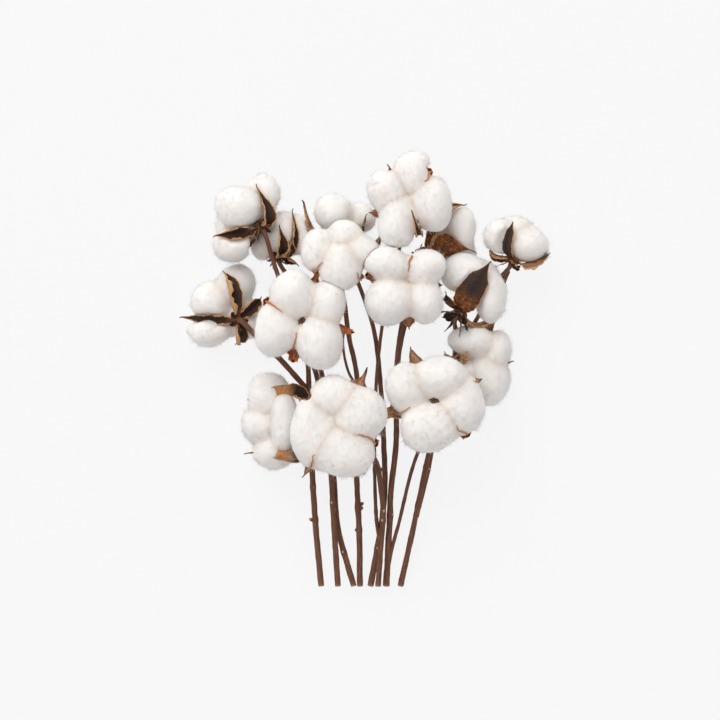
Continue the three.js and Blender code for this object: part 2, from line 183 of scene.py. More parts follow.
# Leaves and flaps stand this share of their even turns out of place, and have a weaker rib than valves
SCATTER = (-0.2, 0.2)
LEAF_RIB = 0.5

# Stems
PEDICEL_LENGTH = 3
RECEPTACLE_SEAT = -3
CUT_END_Y = -144.4
STEM_SIDES = 16
STEM_STEP = 1.3
ROUTE_STEPS = 24
# Bark streaks: size, count round the stem, pace along it and share of the seed
BARK_STREAKS = ((0.035, 5, 0.05, 1), (0.02, 8, -0.03, 2))
KNOT_RELIEF, KNOT_WAVES = 0.05, (3, 14)
# The cut end: how wide and how far out its face is, and how pale the bark is next to it
CUT_FACE, CUT_DOME, CUT_PALE, CUT_FADE = 0.82, 0.35, 0.35, 0.6
# A stem swells under a boll and round a mark, and a bud draws in to its tip
BOLL_SWELL, BOLL_SWELL_LENGTH = 0.5, 1.6
MARK_SWELL, MARK_SWELL_LENGTH, MARK_REACH = 0.25, 2.0, 5
BUD_LENGTH, BUD_TIP = 4, 0.12
# A mark: how far out in the stem it starts, how much it leans up the stem, how much longer than wide it
# is along the stem, and its knobs. Its radius falls slowly and then fast, and its end is the palest.
MARK_START, MARK_LEAN, MARK_LENGTHENED = 0.55, 0.45, 1.5
MARK_SIDES, MARK_KNOBS, MARK_KNOB = 14, 3, 0.12
MARK_RADIUS, MARK_TAPER, MARK_ROUNDING = 0.95, 0.3, 0.4

# What the random draws of each kind of thing start from
FIBRE_SEED, LOCK_SEED, LINT_SEED = 100, 500, 700
VALVE_SEED, RIDGE_SEED, CALYX_SEED, CORE_SEED = 1000, 1500, 2000, 3000
LIMB_SEED = 40


def blade(tip, half=3.6, dip=5.0, dish=-0.4, bend=None, fork=0.0, prong=0.0, ridge=0.0, spine=2.4,
          lean=0.0, point=0.67, sharp=1.3, horn=0.3, twist=0):
    """A valve: its tip, half-width, how far its keel dips, its dish (over 0 where the hollow side faces
    the fibre), its keel's bend, how long its fork, its fork's middle prong, its ridge on the fibre and
    its spine are, how much broader its left rim is, where along it the point begins, how hollow the
    point's sides are, how thick it ends, and its turn about its own length in degrees."""
    return dict(tip=tip, half=half, dip=dip, dish=dish, bend=bend, fork=fork, prong=prong, ridge=ridge,
                spine=spine, lean=lean, point=point, sharp=sharp, horn=horn, twist=twist)


# Each boll: its receptacle, the way it faces, its locks (centre, half sizes) and its valves. amber is how
# golden its bur is outside and orange how much it is inside; core is the size of the dried remains in its
# middle; crease is how softly its locks meet; calyx is how large its sepals are and reflex how far they
# bend back; lint are spots of loose fibre on the bur (x, y, z, spread, how dirty from 0 to 1).
BOLLS = {
    "n": dict(
        at=(-42.7, 33.7, 51), axis=(0, 0, 1), amber=0.2, orange=0.9, core=1.3,
        locks=[(-48.7, 51, 65, 15.3, 15.3, 14), (-25.3, 45.7, 62, 12, 16.7, 13),
               (-60, 27.7, 63, 14, 18.7, 14), (-30.7, 17.7, 65, 16, 16, 15)],
        crease=4.5,
        valves=[blade((-68, 47, 67), 4.2, fork=3, ridge=13),
                blade((-32, 65.7, 66), 2.2, fork=2, prong=4.5, ridge=3),
                blade((-8.7, 25.7, 66), 2.3, fork=3, prong=4, ridge=4),
                blade((-48.7, 5.7, 66), 4.2, fork=3.4, ridge=18)],
    ),
    "l": dict(
        at=(-18.7, -33, 48), axis=(0, 0, 1), amber=0.3, orange=0.35, crease=10,
        locks=[(-34.4, -40.3, 60, 16.5, 24, 14), (-20.7, -16, 60, 15.6, 13.6, 14),
               (-1.8, -28, 62, 16.5, 17.6, 15), (-14, -54.5, 62, 19.3, 18, 15)],
        valves=[blade((-0.5, -2, 62), 6.5, bend=(-5, -12, 54), spine=5, sharp=2.4, horn=0.9, point=0.6),
                blade((8, -49.7, 62), 4.2, fork=3.2, ridge=14),
                blade((-40.7, -69, 60), 3, ridge=12, spine=3.5), blade((-38, -17.7, 66), 2.5, fork=1.8)],
        lint=[(10, -42, 60, 3, 0.1), (-2, -68, 62, 3, 0.0)],
    ),
    "k": dict(
        at=(46, -19.7, 46), axis=(0, 0, 1), amber=0.4, orange=0.15, core=1.5, crease=5,
        locks=[(27.3, -11.7, 58, 14, 16.7, 14), (49.3, -3.7, 60, 18, 14.7, 15),
               (64.7, -22.3, 58, 14.7, 20, 15), (42, -39, 61, 20, 16, 15)],
        valves=[blade((30, 14, 63), 6, bend=(33.5, 3, 55), spine=2.4, point=0.5, sharp=1.0, horn=0.4),
                blade((12, -29, 62), 4.5, fork=3.2, ridge=16), blade((68.7, -43.7, 60), 5.5, fork=3, ridge=9),
                blade((76.7, -5.7, 62), 2.5, ridge=3, spine=1)],
    ),
    "i": dict(
        at=(28, 57, 50), axis=(0, 0, 1), amber=0.3, orange=0.5,
        locks=[(13.3, 71.7, 66, 14.7, 11, 13), (40.7, 69, 63, 13.3, 12, 13),
               (15.3, 45.7, 66, 15.7, 16.3, 15), (40, 45.7, 64, 11.3, 14.7, 14)],
        valves=[blade((-0.3, 64, 64), fork=3, ridge=6), blade((28.7, 29, 62), 3.5, ridge=5, spine=2),
                blade((30.7, 77, 66), 2, ridge=10, spine=1), blade((50, 57, 54), 3, spine=1.5)],
    ),
    "e": dict(
        at=(28.7, 113, 48), axis=(0, 0.2, 0.97), amber=0.2, orange=0.6,
        locks=[(13, 119, 59, 12.5, 14, 13), (31.5, 132, 58, 12.5, 14, 13),
               (44, 111, 60, 14, 18, 14), (21.5, 98, 62, 14, 16.5, 14)],
        valves=[blade((15.7, 135.3, 64), 2.5, spine=3.2), blade((43.3, 134.3, 66), 3.6, fork=2, ridge=7),
                blade((3.3, 105.3, 62), 2.5), blade((30.7, 105.5, 75), 1.3, bend=(41, 74, 76), spine=1.6)],
        lint=[(34, 99, 74.2, 2.5, 1), (35.3, 95, 73.8, 2.5, 1), (36.6, 92, 72.8, 2, 0.9)],
    ),
    "d": dict(
        at=(-16.7, 75, 49), axis=(0, 0.25, 0.95), amber=0.3, orange=0.25,
        locks=[(-32.7, 79.7, 60, 10.7, 14.7, 12.5), (-14, 91.7, 59, 10.7, 9, 12),
               (-17.3, 67.7, 64, 14.7, 14.3, 14), (-2.7, 79.7, 60, 12.7, 10.7, 12.5)],
        valves=[blade((-36, 67, 61), 3, ridge=8, spine=2), blade((-3.5, 61, 62), 4.5, ridge=4),
                blade((-33.5, 94, 58), 2, spine=1), blade((-3, 92, 56), 2.5, spine=1)],
    ),
    "h": dict(
        at=(63.3, 39, 38), axis=(0.55, 0.75, -0.3), amber=0.46, orange=0.2, calyx=1.9, reflex=-0.5,
        locks=[(66, 65.7, 38, 15.3, 13.3, 14), (84, 49, 36, 11.3, 17.3, 14),
               (76, 61, 26, 13, 13, 13)],
        valves=[blade((82, 71.3, 51), 7.5, dish=0.35, spine=3.5, point=0.82),
                blade((53.5, 51, 44), 4.5, dish=0.35, point=0.8),
                blade((91, 41.5, 24), 3)],
        lint=[(65, 52, 47, 3, 0.5), (66, 47, 46, 2.5, 0.2)],
    ),
    "j": dict(
        at=(73, 5, 15), axis=(0.5, 0.3, 0.8), amber=0.6, orange=0.3,
        locks=[(69.3, 21, 29, 14.7, 11.3, 12), (83.3, -5.7, 17.5, 14.7, 18, 18.7),
               (88, 13, 22, 9, 14, 14), (65, -5, 25, 11, 12, 11)],
        valves=[blade((53.3, 11.3, 34), 2.5, spine=3), blade((88.7, 37, 34), 7, dish=0.35),
                blade((97, 6, 26), 2.5), blade((66.5, 9.5, 39), 4, fork=2)],
    ),
    "a": dict(
        at=(-70.7, 97, 43), axis=(-0.5, 0.8, -0.33), amber=0.15, orange=0.1,
        locks=[(-85.3, 109, 44, 15.3, 14.7, 14), (-89.3, 84.3, 36, 12.7, 12.7, 13),
               (-69.3, 115, 32, 11.3, 17.3, 14), (-86, 98, 16, 15, 15, 17.2)],
        valves=[blade((-100, 90.3, 47), bend=(-86, 92.5, 50.5), lean=0.8, twist=30),
                blade((-72.7, 122.3, 46), 3.8, dip=8, lean=-0.7),
                blade((-72, 126, 28), 2.2), blade((-96, 84, 20), 3)],
        lint=[(-77, 95, 51, 2.5, 0.9), (-74.5, 89, 46, 1.6, 0.7), (-73, 108, 50, 2.5, 0.0)],
    ),
    "b": dict(
        at=(-59.3, 77, 28), axis=(-0.3, 0.92, -0.28), amber=0.1, orange=0.1,
        locks=[(-56.7, 91, 28, 12, 14, 11), (-69, 84, 21, 8, 10, 11),
               (-44.5, 91, 24, 9.5, 13.3, 12), (-57, 96, 15, 13, 12, 13)],
        valves=[blade((-57.6, 95.5, 42)), blade((-49.5, 86.5, 39), 3),
                blade((-46, 71.5, 26), 2.4), blade((-49.3, 106.3, 33), 2.4)],
    ),
    "c": dict(
        at=(-14, 88, 26), axis=(0, 0.8, 0.4), amber=0.3, orange=0.1,
        locks=[(-22.7, 105.7, 34, 12.3, 11.3, 12), (-3, 102, 24, 10, 11, 11),
               (-15, 100, 15, 13, 12, 13)],
        valves=[blade((-41, 111.5, 40), 3.2, lean=-0.5, sharp=1.8, horn=0.8, spine=4),
                blade((0, 103.5, 42), 5, dish=0.35, lean=0.8),
                blade((9.5, 90, 37), 7)],
        lint=[(0, 97, 42, 2.5, 0.3)],
    ),
    "f": dict(
        at=(41.3, 78, 34), axis=(0.75, 0.35, -0.5), amber=1.0, orange=0.2,
        locks=[(64, 93.7, 30, 10.3, 16.3, 13), (61, 79, 18, 13, 12, 14),
               (52, 97, 22, 12, 13, 13)],
        valves=[blade((70, 80.5, 41), 7.6, dish=0.35, bend=(53, 86.5, 46), spine=5, point=0.62, sharp=1.6),
                blade((65.5, 110.5, 36), 3.8, bend=(51, 112, 38)), blade((54, 86, 8), 3.6)],
    ),
    "g": dict(
        at=(98.7, 74.3, 28), axis=(0.45, 0.85, -0.27), amber=0.1, orange=0.1,
        locks=[(88.7, 90.3, 30, 10.7, 11.3, 12), (109.3, 84.3, 28, 13.3, 12, 13),
               (99, 92, 16, 13, 12, 17.2)],
        valves=[blade((98, 98.5, 39), 2.7, dish=0.35, point=0.85, spine=1.2, lean=-0.8),
                blade((122, 77.5, 30), 3.7, dish=0.35, point=0.85, lean=0.6, twist=52),
                blade((83.3, 81.7, 25), 2.8)],
        lint=[(121, 77.5, 32, 2.5, 1), (119, 75, 31, 2.2, 1)],
    ),
    "m": dict(
        at=(-45, -36, 28), axis=(-0.8, 0, 0.35), amber=0.3, orange=0.4,
        locks=[(-64.7, -15, 28, 14, 14, 14), (-71, -35.7, 18, 12, 14.7, 19.2),
               (-62, -55.7, 26, 14, 10.7, 13), (-54, -33, 38, 9.3, 18, 11)],
        valves=[blade((-60, -13, 42), 4.5, bend=(-38, -8, 36), fork=2, twist=-50),
                blade((-59.5, -56, 41), 4.5, bend=(-38, -63, 36), fork=2, twist=50),
                blade((-79, -55, 28), 2.6, spine=3), blade((-77, -20, 14), 3)],
        lint=[(-50, -58, 43, 3, 0.2)],
    ),
    "o": dict(
        at=(-86, 34, 32), axis=(-0.45, 0.1, -0.88), amber=0.0, orange=0.1,
        locks=[(-102.7, 46.3, 16, 14, 14.7, 17.2), (-86.7, 57.7, 18, 13.3, 14, 14),
               (-104.7, 25.7, 18, 15.3, 10, 14), (-80, 34, 17, 13, 13.5, 13)],
        valves=[blade((-94.7, 65.5, 30), 3.8, lean=1.0), blade((-86.7, 18.5, 22), 3.6, lean=-0.6),
                blade((-70.7, 48, 28), 3.4, lean=-0.5),
                blade((-123, 36, 14), 2.6, bend=(-104, 34, 18))],
    ),
}

# Each stem: its limbs (radius at the low and the high end, the boll that it ends in or else how it ends,
# its route) and its marks (x, y, turn to the side from straight up in degrees, length, pale from 0 to 1)
C = CUT_END_Y
STEMS = {
    "stem_01": dict(
        limbs=[
            ((2.1, 1.6), "n", [(-30, C, 5), (-33.5, -105, 9), (-36, -65.7, 14), (-38, -15.7, 24),
                               (-38.6, 4, 32)]),
            ((1.7, 1.4), "m", [(-36.8, -56, 16.5), (-37.5, -46, 21)]),
            ((1.9, 1.8), "o", [(-38, -14, 24.5), (-44.7, -6.3, 28), (-57.3, 7.7, 31),
                               (-72, 21.7, 36)]),
        ],
        marks=[(-34, -100, -85, 2.4, 1.0), (-33.5, -78, 20, 0.5, 0.2)],
    ),
    "stem_02": dict(
        limbs=[
            ((2, 1.5), "a", [(-18.7, C, 10), (-22.3, -87.7, 14), (-23, -72.3, 16),
                             (-33.3, -2.3, 18), (-46, 30, 24), (-60, 67.7, 38)]),
        ],
        marks=[(-22.7, -88.5, -20, 0.7, 1.0)],
    ),
    "stem_03": dict(
        limbs=[
            ((2, 1.5), "b", [(-8.1, C, 6.6), (-18.7, -105, 7), (-21.3, -73, 9), (-29, -4.3, 11),
                             (-41, 30, 15), (-52, 62, 25)]),
        ],
        marks=[(-13.7, -121, -20, 0.6, 0.9)],
    ),
    "stem_04": dict(
        limbs=[
            ((2, 1.5), "d", [(-4, C, 7.6), (-4.4, -108.3, 13), (-6, -71, 18), (-6, -4.3, 30),
                             (-11.3, 23, 38), (-14, 43.7, 41), (-16.5, 58, 41)]),
            ((1, 0.7), "bud", [(-6.1, -10, 29.2), (-11.5, -1, 33.5), (-15.3, 19, 42),
                               (-13, 32, 45.8), (-12, 39, 46.8)]),
        ],
        marks=[(-2.6, -90, 85, 2.0, 0.1), (-2.4, -92.4, 80, 1.5, 0.3), (-6.5, -107.5, -85, 0.8, 0.1)],
    ),
    "stem_05": dict(
        limbs=[
            ((2.1, 1.3), "c", [(3.3, C, 5), (9.7, -108.3, 11), (11.3, -95.7, 13),
                               (12.7, -77, 13.5), (12, -45.7, 14), (10.7, -19, 17),
                               (5.3, 27.7, 22), (-4, 56, 22)]),
        ],
        marks=[(8.7, -119, 0, 0.5, 0.9)],
    ),
    "stem_06": dict(
        limbs=[
            ((2, 1.6), "l", [(8.2, C, 13), (9.7, -121.7, 15), (11.7, -94.3, 19), (9.3, -72.3, 25),
                             (7.3, -62.3, 29), (-3, -46, 35)]),
            ((1.2, 1.1), "e", [(10, -118, 15.4), (7.6, -104, 14.5), (6, -70.3, 17), (6.7, -13, 25),
                               (10.7, 27.7, 31), (17, 60, 36), (25, 92, 40)]),
        ],
        marks=[(11.6, -94.5, 10, 0.7, 1.0), (11.2, -100, -15, 0.7, 0.9), (9.2, -66, 70, 1.6, 0.0)],
    ),
    "stem_07": dict(
        limbs=[
            ((2.2, 1.6), "i", [(13.8, C, 6), (15.8, -105, 12), (17, -78.3, 16), (20.3, -49.7, 20),
                               (20.7, 3.7, 34), (24.5, 34, 39)]),
            ((1.5, 1.3), "f", [(20.7, -4, 31.8), (23, 16, 32), (30, 44, 32), (36, 64, 34)]),
            ((1.2, 1.2), "j", [(13.9, -139, 6.4), (17.4, -120, 10), (22, -103, 12),
                               (34.7, -55.7, 14), (52, -26, 10), (63.5, -6.5, 7.4)]),
        ],
        marks=[(16.2, -97, 60, 0.6, 0.8)],
    ),
    "stem_09": dict(
        limbs=[
            ((2, 1.6), "k", [(23.3, C, 5), (31.3, -108.3, 11), (42, -55.7, 24), (46, -36, 33)]),
            ((1.7, 1.4), "h", [(42.8, -52, 25.6), (48, -30, 20), (56, -10, 13), (59.3, 8, 12),
                               (60.3, 24, 18)]),
            ((1.6, 1.4), "g", [(34, -98, 13.4), (42, -66, 9), (50, -22, 4.5), (70, 26, 5),
                               (83, 49.5, 11), (89, 61, 19)]),
            ((1.9, 1.7), "cut", [(91.3, 57.7, 16), (95, 66.5, 25)]),
        ],
        marks=[(41.3, -65.7, 25, 0.9, 1.0), (36.3, -90.3, 35, 0.9, 1.0)],
    ),
}


def unit(vectors):
    vectors = np.asarray(vectors, float)
    return vectors / np.linalg.norm(vectors, axis=-1, keepdims=True)


def placed(spot):
    """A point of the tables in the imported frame."""
    return np.array(spot, float) - MIDDLE


def smooth_step(values, low, high):
    share = np.clip((values - low) / (high - low), 0, 1)
    return share * share * (3 - 2 * share)


def ripple(points, seed, shortest, longest, count=14):
    """A smooth random value between about -1 and 1 at each point, from waves of these lengths."""
    random = np.random.default_rng(seed)
    way = unit(random.normal(size=(count, 3)))
    way *= 2 * math.pi / random.uniform(shortest, longest, (count, 1))
    return np.sin(points @ way.T + random.uniform(0, 2 * math.pi, count)).sum(axis=1) / math.sqrt(count)


def distances(path):
    """How far along a path each of its points is."""
    return np.concatenate([[0], np.cumsum(np.linalg.norm(np.diff(path, axis=0), axis=1))])


def tangents(path):
    return unit(np.gradient(path, axis=0))


def draw_even(values, rounds):
    """Draws each value along a line towards its two neighbours, in place. The ends stay."""
    for _ in range(rounds):
        values[1:-1] = (values[:-2] + values[1:-1] + values[2:]) / 3


def gap_in_view(path, x, y):
    """How far from a spot each point of a path is, as the camera sees it."""
    return np.linalg.norm(path[:, :2] - (np.array([x, y]) - MIDDLE[:2]), axis=1)


def new_object(name, data, spot=(0, 0, 0)):
    """An object in the scene that shows this mesh, camera or light."""
    obj = bpy.data.objects.new(name, data)
    obj.location = spot
    bpy.context.scene.collection.objects.link(obj)
    return obj


class Pile:
    """The points, triangles and per-point values of one piece, gathered from its parts."""

    def __init__(self):
        self.points = []
        self.faces = []
        self.values = {}
        self.normals = []
        self.count = 0

    def add(self, points, faces, normals=None, **values):
        self.points.append(points)
        self.faces.append(faces + self.count)
        self.count += len(points)
        for name, value in values.items():
            self.values.setdefault(name, []).append(value)
        if normals is not None:
            self.normals.append(normals)

    def piece(self, name, material, slot, replaced=()):
        points = np.concatenate(self.points) * METRES
        faces = np.concatenate(self.faces).astype(np.int32)
        mesh = bpy.data.meshes.new(name)
        mesh.vertices.add(len(points))
        mesh.vertices.foreach_set("co", points.astype(np.float32).ravel())
        mesh.loops.add(faces.size)
        mesh.loops.foreach_set("vertex_index", faces.ravel())
        mesh.polygons.add(len(faces))
        mesh.polygons.foreach_set("loop_start", np.arange(0, faces.size, 3, dtype=np.int32))
        mesh.polygons.foreach_set("use_smooth", np.ones(len(faces), dtype=bool))
        mesh.update(calc_edges=True)
        for value_name, parts in self.values.items():
            value = mesh.attributes.new(value_name, "FLOAT_VECTOR", "POINT")
            value.data.foreach_set("vector", np.concatenate(parts).astype(np.float32).ravel())
        if self.normals:
            mesh.normals_split_custom_set_from_vertices(np.concatenate(self.normals))
        mesh.materials.append(material)
        obj = new_object(name, mesh)
        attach(obj, "root")
        if replaced:
            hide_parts(*replaced)


def halves(quads):
    """Two triangles for each quad."""
    return np.concatenate([quads[:, [0, 1, 2]], quads[:, [0, 2, 3]]])


def ring_quads(rows, columns):
    row, column = np.meshgrid(np.arange(rows - 1), np.arange(columns), indexing="ij")
    after = (column + 1) % columns
    quads = np.stack([row * columns + column, row * columns + after,
                      (row + 1) * columns + after, (row + 1) * columns + column], axis=-1)
    return quads.reshape(-1, 4)


def loft(rings):
    """The points and triangles of a closed skin through rings of points, capped at both ends."""
    rows, columns, _ = rings.shape
    around = np.arange(columns)
    low = rows * columns
    first = np.stack([np.roll(around, -1), around, np.full(columns, low)], axis=-1)
    last = np.stack([around, np.roll(around, -1), np.full(columns, low + 1)], axis=-1)
    last[:, :2] += (rows - 1) * columns
    ends = [rings[0].mean(axis=0), rings[-1].mean(axis=0)]
    points = np.concatenate([rings.reshape(-1, 3), ends])
    return points, np.concatenate([halves(ring_quads(rows, columns)), first, last])


def thin_loft(rings):
    """As loft, for flat rings whose second half runs back beside the first: the ends are stitched."""
    rows, columns, _ = rings.shape
    side = np.arange(columns // 2 - 1)
    back = columns - 1 - side
    end = np.stack([side, side + 1, back - 1, back], axis=-1)
    quads = np.concatenate([ring_quads(rows, columns), end[:, ::-1], end + (rows - 1) * columns])
    return rings.reshape(-1, 3), halves(quads)


def with_ends(values):
    """Per-ring values as per-point values of the loft, its two cap centres included."""
    flat = values.reshape(-1, values.shape[-1])
    return np.concatenate([flat, [values[0].mean(axis=0), values[-1].mean(axis=0)]])


def spread_out(shape, *values):
    """Three values for each point of a grid, from what they are by row, by column or everywhere."""
    return np.stack([np.broadcast_to(value, shape) for value in values], axis=-1)


def turns_of(count):
    """Even turns round a circle, in radians."""
    return np.linspace(0, 2 * np.pi, count, endpoint=False)


def circle(first, second, turns):
    """The directions at these turns from the first of two square directions to the second."""
    return first * np.cos(turns)[:, None] + second * np.sin(turns)[:, None]


def add_loft(pile, rings, **values):
    """Adds a closed skin through rings, each value given as spread_out takes it."""
    points, faces = loft(rings)
    spread = {name: with_ends(spread_out(rings.shape[:2], *value)) for name, value in values.items()}
    pile.add(points, faces, **spread)


# Locks of fibre


class Lock:
    """A lumpy pillow of fibre, of the same form as in the CAD model."""

    def __init__(self, numbers, boll):
        numbers = np.array(numbers, float)
        self.boll = boll
        self.lump_start = numbers[:3]
        self.centre = placed(numbers[:3])
        self.half = numbers[3:]
        axis = unit(BOLLS[boll]["axis"])
        inward = placed(BOLLS[boll]["at"]) - self.centre
        self.inward = unit(inward - axis * (inward @ axis))

    def reach(self, way):
        """How far out the surface is in each unit direction, in half sizes."""
        lump = 1 + LOCK_LUMP * np.sin(LOCK_LUMP_WAVES * way + self.lump_start).sum(axis=-1)
        return lump * (1 + LOCK_INWARD_STRETCH * np.maximum(way @ self.inward, 0) ** 2)

    def depth(self, points):
        """Under 1 inside the lock, 1 on its surface, over 1 outside."""
        local = (points - self.centre) / self.half
        radius = np.maximum(np.linalg.norm(local, axis=-1), 1e-9)
        return radius / self.reach(local / radius[..., None])

    def clearance(self, points):
        """About how many millimetres outside the lock each point is."""
        depth = np.maximum(self.depth(points), 0.2)
        return np.linalg.norm(points - self.centre, axis=-1) * (1 - 1 / depth)

    def near(self, points, room):
        return (np.abs(points - self.centre) < self.half * 1.3 + room).all(axis=-1)


def unit_ball():
    """The points and triangles of a fine ball of radius 1."""
    ball = bmesh.new()
    bmesh.ops.create_icosphere(ball, subdivisions=LOCK_SUBDIVISIONS, radius=1)
    points = np.array([v.co[:] for v in ball.verts])
    faces = np.array([[v.index for v in f.verts] for f in ball.faces])
    ball.free()
    return points, faces


def nearest_gap(points, locks, most):
    """The distance to the nearest of some locks, at most this."""
    gap = np.full(len(points), float(most))
    for lock in locks:
        close = lock.near(points, most)
        if close.any():
            gap[close] = np.minimum(gap[close], lock.clearance(points[close]))
    return gap


def filled(points, outward, lock, siblings, reach):
    """Fills the creases between the locks of a boll, as a smooth union does, and draws each lock in where
    it is behind another."""
    raised = np.zeros(len(points))
    for _ in range(CREASE_STEPS):
        moved = points + outward * raised[:, None]
        own = lock.clearance(moved)
        gap = own + reach
        for other in siblings:
            gap = np.minimum(gap, other.clearance(moved))
        behind = own - gap
        wanted = np.maximum(reach - np.abs(behind), 0) ** 2 / (4 * reach)
        wanted -= CREASE_DRAW_IN * np.maximum(behind, 0)
        raised += CREASE_STEP_SHARE * (np.maximum(wanted, -1) - own)
    return points + outward * raised[:, None]


def pressed(points, lock, other):
    """Moves points that lie in another lock towards their own lock's middle, until they are out of it."""
    edge = 1 + LOCK_GAP / other.half.min()
    if other.depth(lock.centre[None])[0] < edge:
        return points
    inside = other.near(points, LOCK_GAP)
    inside[inside] = other.depth(points[inside]) < edge
    if not inside.any():
        return points
    far = points[inside]
    back = lock.centre - far
    low, high = np.zeros(len(far)), np.ones(len(far))
    for _ in range(PRESS_STEPS):
        middle = (low + high) / 2
        within = other.depth(far + back * middle[:, None]) < edge
        low = np.where(within, middle, low)
        high = np.where(within, high, middle)
    points[inside] = far + back * high[:, None]
    return points


# Valves of the burs


class Valve:
    """A thin hollow blade from the receptacle to its pointed tip, as in the CAD model."""

    def __init__(self, numbers, boll):
        self.boll = boll
        self.numbers = numbers
        at = placed(BOLLS[boll]["at"])
        axis = unit(BOLLS[boll]["axis"])
        tip = placed(numbers["tip"])
        fork = numbers["fork"] > 0
        reach = tip - at
        outward = reach - axis * (reach @ axis)
        bend = at + outward * VALVE_BEND - axis * numbers["dip"]
        if numbers["bend"]:
            bend = placed(numbers["bend"])
        self.outward = unit(outward)
        foot = at + self.outward * VALVE_FOOT_RADIUS
        self.u = np.linspace(0, 1, VALVE_STATIONS)
        u = self.u[:, None]
        self.path = foot * (1 - u) ** 2 + bend * 2 * u * (1 - u) + tip * u ** 2
        self.tangent = unit((bend - foot) * (1 - u) + (tip - bend) * u)
        across = np.broadcast_to(unit(np.cross(axis, self.outward)), self.path.shape)
        inward = unit(np.cross(self.tangent, across))
        turn = math.radians(numbers["twist"]) * smooth_step(u, 0, TWIST_END)
        self.across = across * np.cos(turn) + inward * np.sin(turn)
        self.inward = inward * np.cos(turn) - across * np.sin(turn)
        self.width = valve_width(self.u, numbers)
        forked = fork * smooth_step(self.u, *FORK_DISH_FADE)
        self.dish = numbers["dish"] + (FORK_DISH - numbers["dish"]) * forked
        self.low = self.path.min(axis=0) - VALVE_ROOM
        self.high = self.path.max(axis=0) + VALVE_ROOM

    def near(self, points):
        return ((points > self.low) & (points < self.high)).all(axis=1)

    def beside(self, points):
        """Each point's nearest station, and how far along, aside and inward from it the point is."""
        station = np.linalg.norm(points[:, None] - self.path[None], axis=2).argmin(axis=1)
        away = points - self.path[station]
        along = (away * self.tangent[station]).sum(axis=1)
        side = np.abs((away * self.across[station]).sum(axis=1))
        lift = (away * self.inward[station]).sum(axis=1)
        return station, along, side, lift

    def covers(self, points):
        """Which points lie against the valve."""
        found = self.near(points)
        if found.any():
            station, along, side, lift = self.beside(points[found])
            width = self.width[station]
            over = np.abs(lift - self.dish[station] * np.minimum(side, width))
            close = (over < COVER_LIFT) & (np.abs(along) < STATION_REACH)
            found[found] = close & (side < width + COVER_MARGIN)
        return found

    def push(self, points, lock):
        """Moves a lock's points that would be in or behind this valve to the side of its own middle."""
        near = self.near(points)
        if not near.any():
            return points
        some = points[near]
        station, along, side, lift = self.beside(some)
        width = self.width[station]
        middle = self.dish[station] * np.minimum(side, width)
        room = VALVE_KEEL_THICKNESS / 2 + LOCK_GAP
        over = np.clip((side - width) / RIM_FADE, 0, 1)
        centre = lock.centre - self.path[np.linalg.norm(self.path - lock.centre, axis=1).argmin()]
        inner = lock.boll == self.boll or centre @ self.inward[len(self.u) // 2] > 0
        if inner:
            bed = (middle + room) * (1 - over) - VALVE_REACH * over
            moved = (lift < bed) & (lift > -VALVE_REACH)
        else:
            bed = (middle - room) * (1 - over) + VALVE_REACH * over
            moved = (lift > bed) & (lift < VALVE_REACH)
        moved &= (over < 1) & (np.abs(along) < STATION_REACH)
        some[moved] += self.inward[station[moved]] * (bed - lift)[moved, None]
        points[near] = some
        return points


def valve_width(u, numbers):
    """The half-width along a valve: it draws in to a thin tip, or stays wide where a fork ends it."""
    half_width, point = numbers["half"], numbers["point"]
    body = np.minimum(u, point) * VALVE_BODY / point
    belly = half_width * np.sin(np.pi * body ** VALVE_WIDEST_SHIFT) ** VALVE_FULLNESS
    width = VALVE_BASE_WIDTH * (1 - body) + belly + VALVE_TIP_WIDTH
    left = np.clip((1 - u) / (1 - point), 0, 1)
    width = np.minimum(width, width * left ** numbers["sharp"] + numbers["horn"])
    if numbers["fork"]:
        width = np.maximum(width, FORK_WIDTH * half_width * smooth_step(u, *FORK_WIDTH_FADE))
    return width


def blade_section(width, dish, roll, breadth):
    """A blade's middle layer at each station and column of one half: how far across and inward it is,
    and its slope there as an angle. The rim rolls back over the outside, and breadth is how widely."""
    wing = np.minimum(COLUMNS / ROLL_START, 1)[None]
    turned = (np.maximum(COLUMNS - ROLL_START, 0) / (1 - ROLL_START))[None] * roll[:, None]
    width, dish = width[:, None], dish[:, None]
    boat = dish > 0
    radius = breadth * np.minimum(np.where(boat, *RIM_SHARE) * width, np.where(boat, *RIM_MOST))
    power = np.where(boat, *HOLLOW_POWER)
    slope = np.arctan(dish * power)
    flat = width - radius
    across = wing * flat + radius * (np.sin(slope) - np.sin(slope - turned))
    lift = dish * flat * wing ** power + radius * (np.cos(slope - turned) - np.cos(slope))
    angle = np.where(turned > 0, slope - turned, np.arctan(dish * power * wing ** (power - 1)))
    return across, lift, angle


def blade_halves(width, dish, roll, lean, along, phase):
    """The sections of a blade's left and right half, with waves in how far their rims roll."""
    sections = []
    for sign in (-1, 1):
        waves = [size * np.sin(pace * along + shift * sign)
                 for (size, pace), shift in zip(ROLL_WAVES, (phase[1], phase[3]))]
        broader = max(-sign * lean * LEAN_BROADER, -sign * lean * LEAN_NARROWER)
        sections.append(blade_section(width, dish, roll * (1 + sum(waves)), 1 + broader))
    return sections


def blade_thickness(u, width, thickness, ribbed):
    """A blade's thickness at each station and column, and the height of the rib along its keel."""
    width = width[:, None]
    thin = thickness[0] + (thickness[1] - thickness[0]) * np.maximum(COLUMNS[None], u[:, None])
    rib = KEEL_RIB * ribbed * np.exp(-(COLUMNS / KEEL_RIB_SPREAD) ** 2)[None]
    thin = np.minimum(thin, TIP_THICKNESS + THICKNESS_SHARE * width)
    return thin, rib * np.minimum(width / KEEL_RIB_WIDTH, 1)


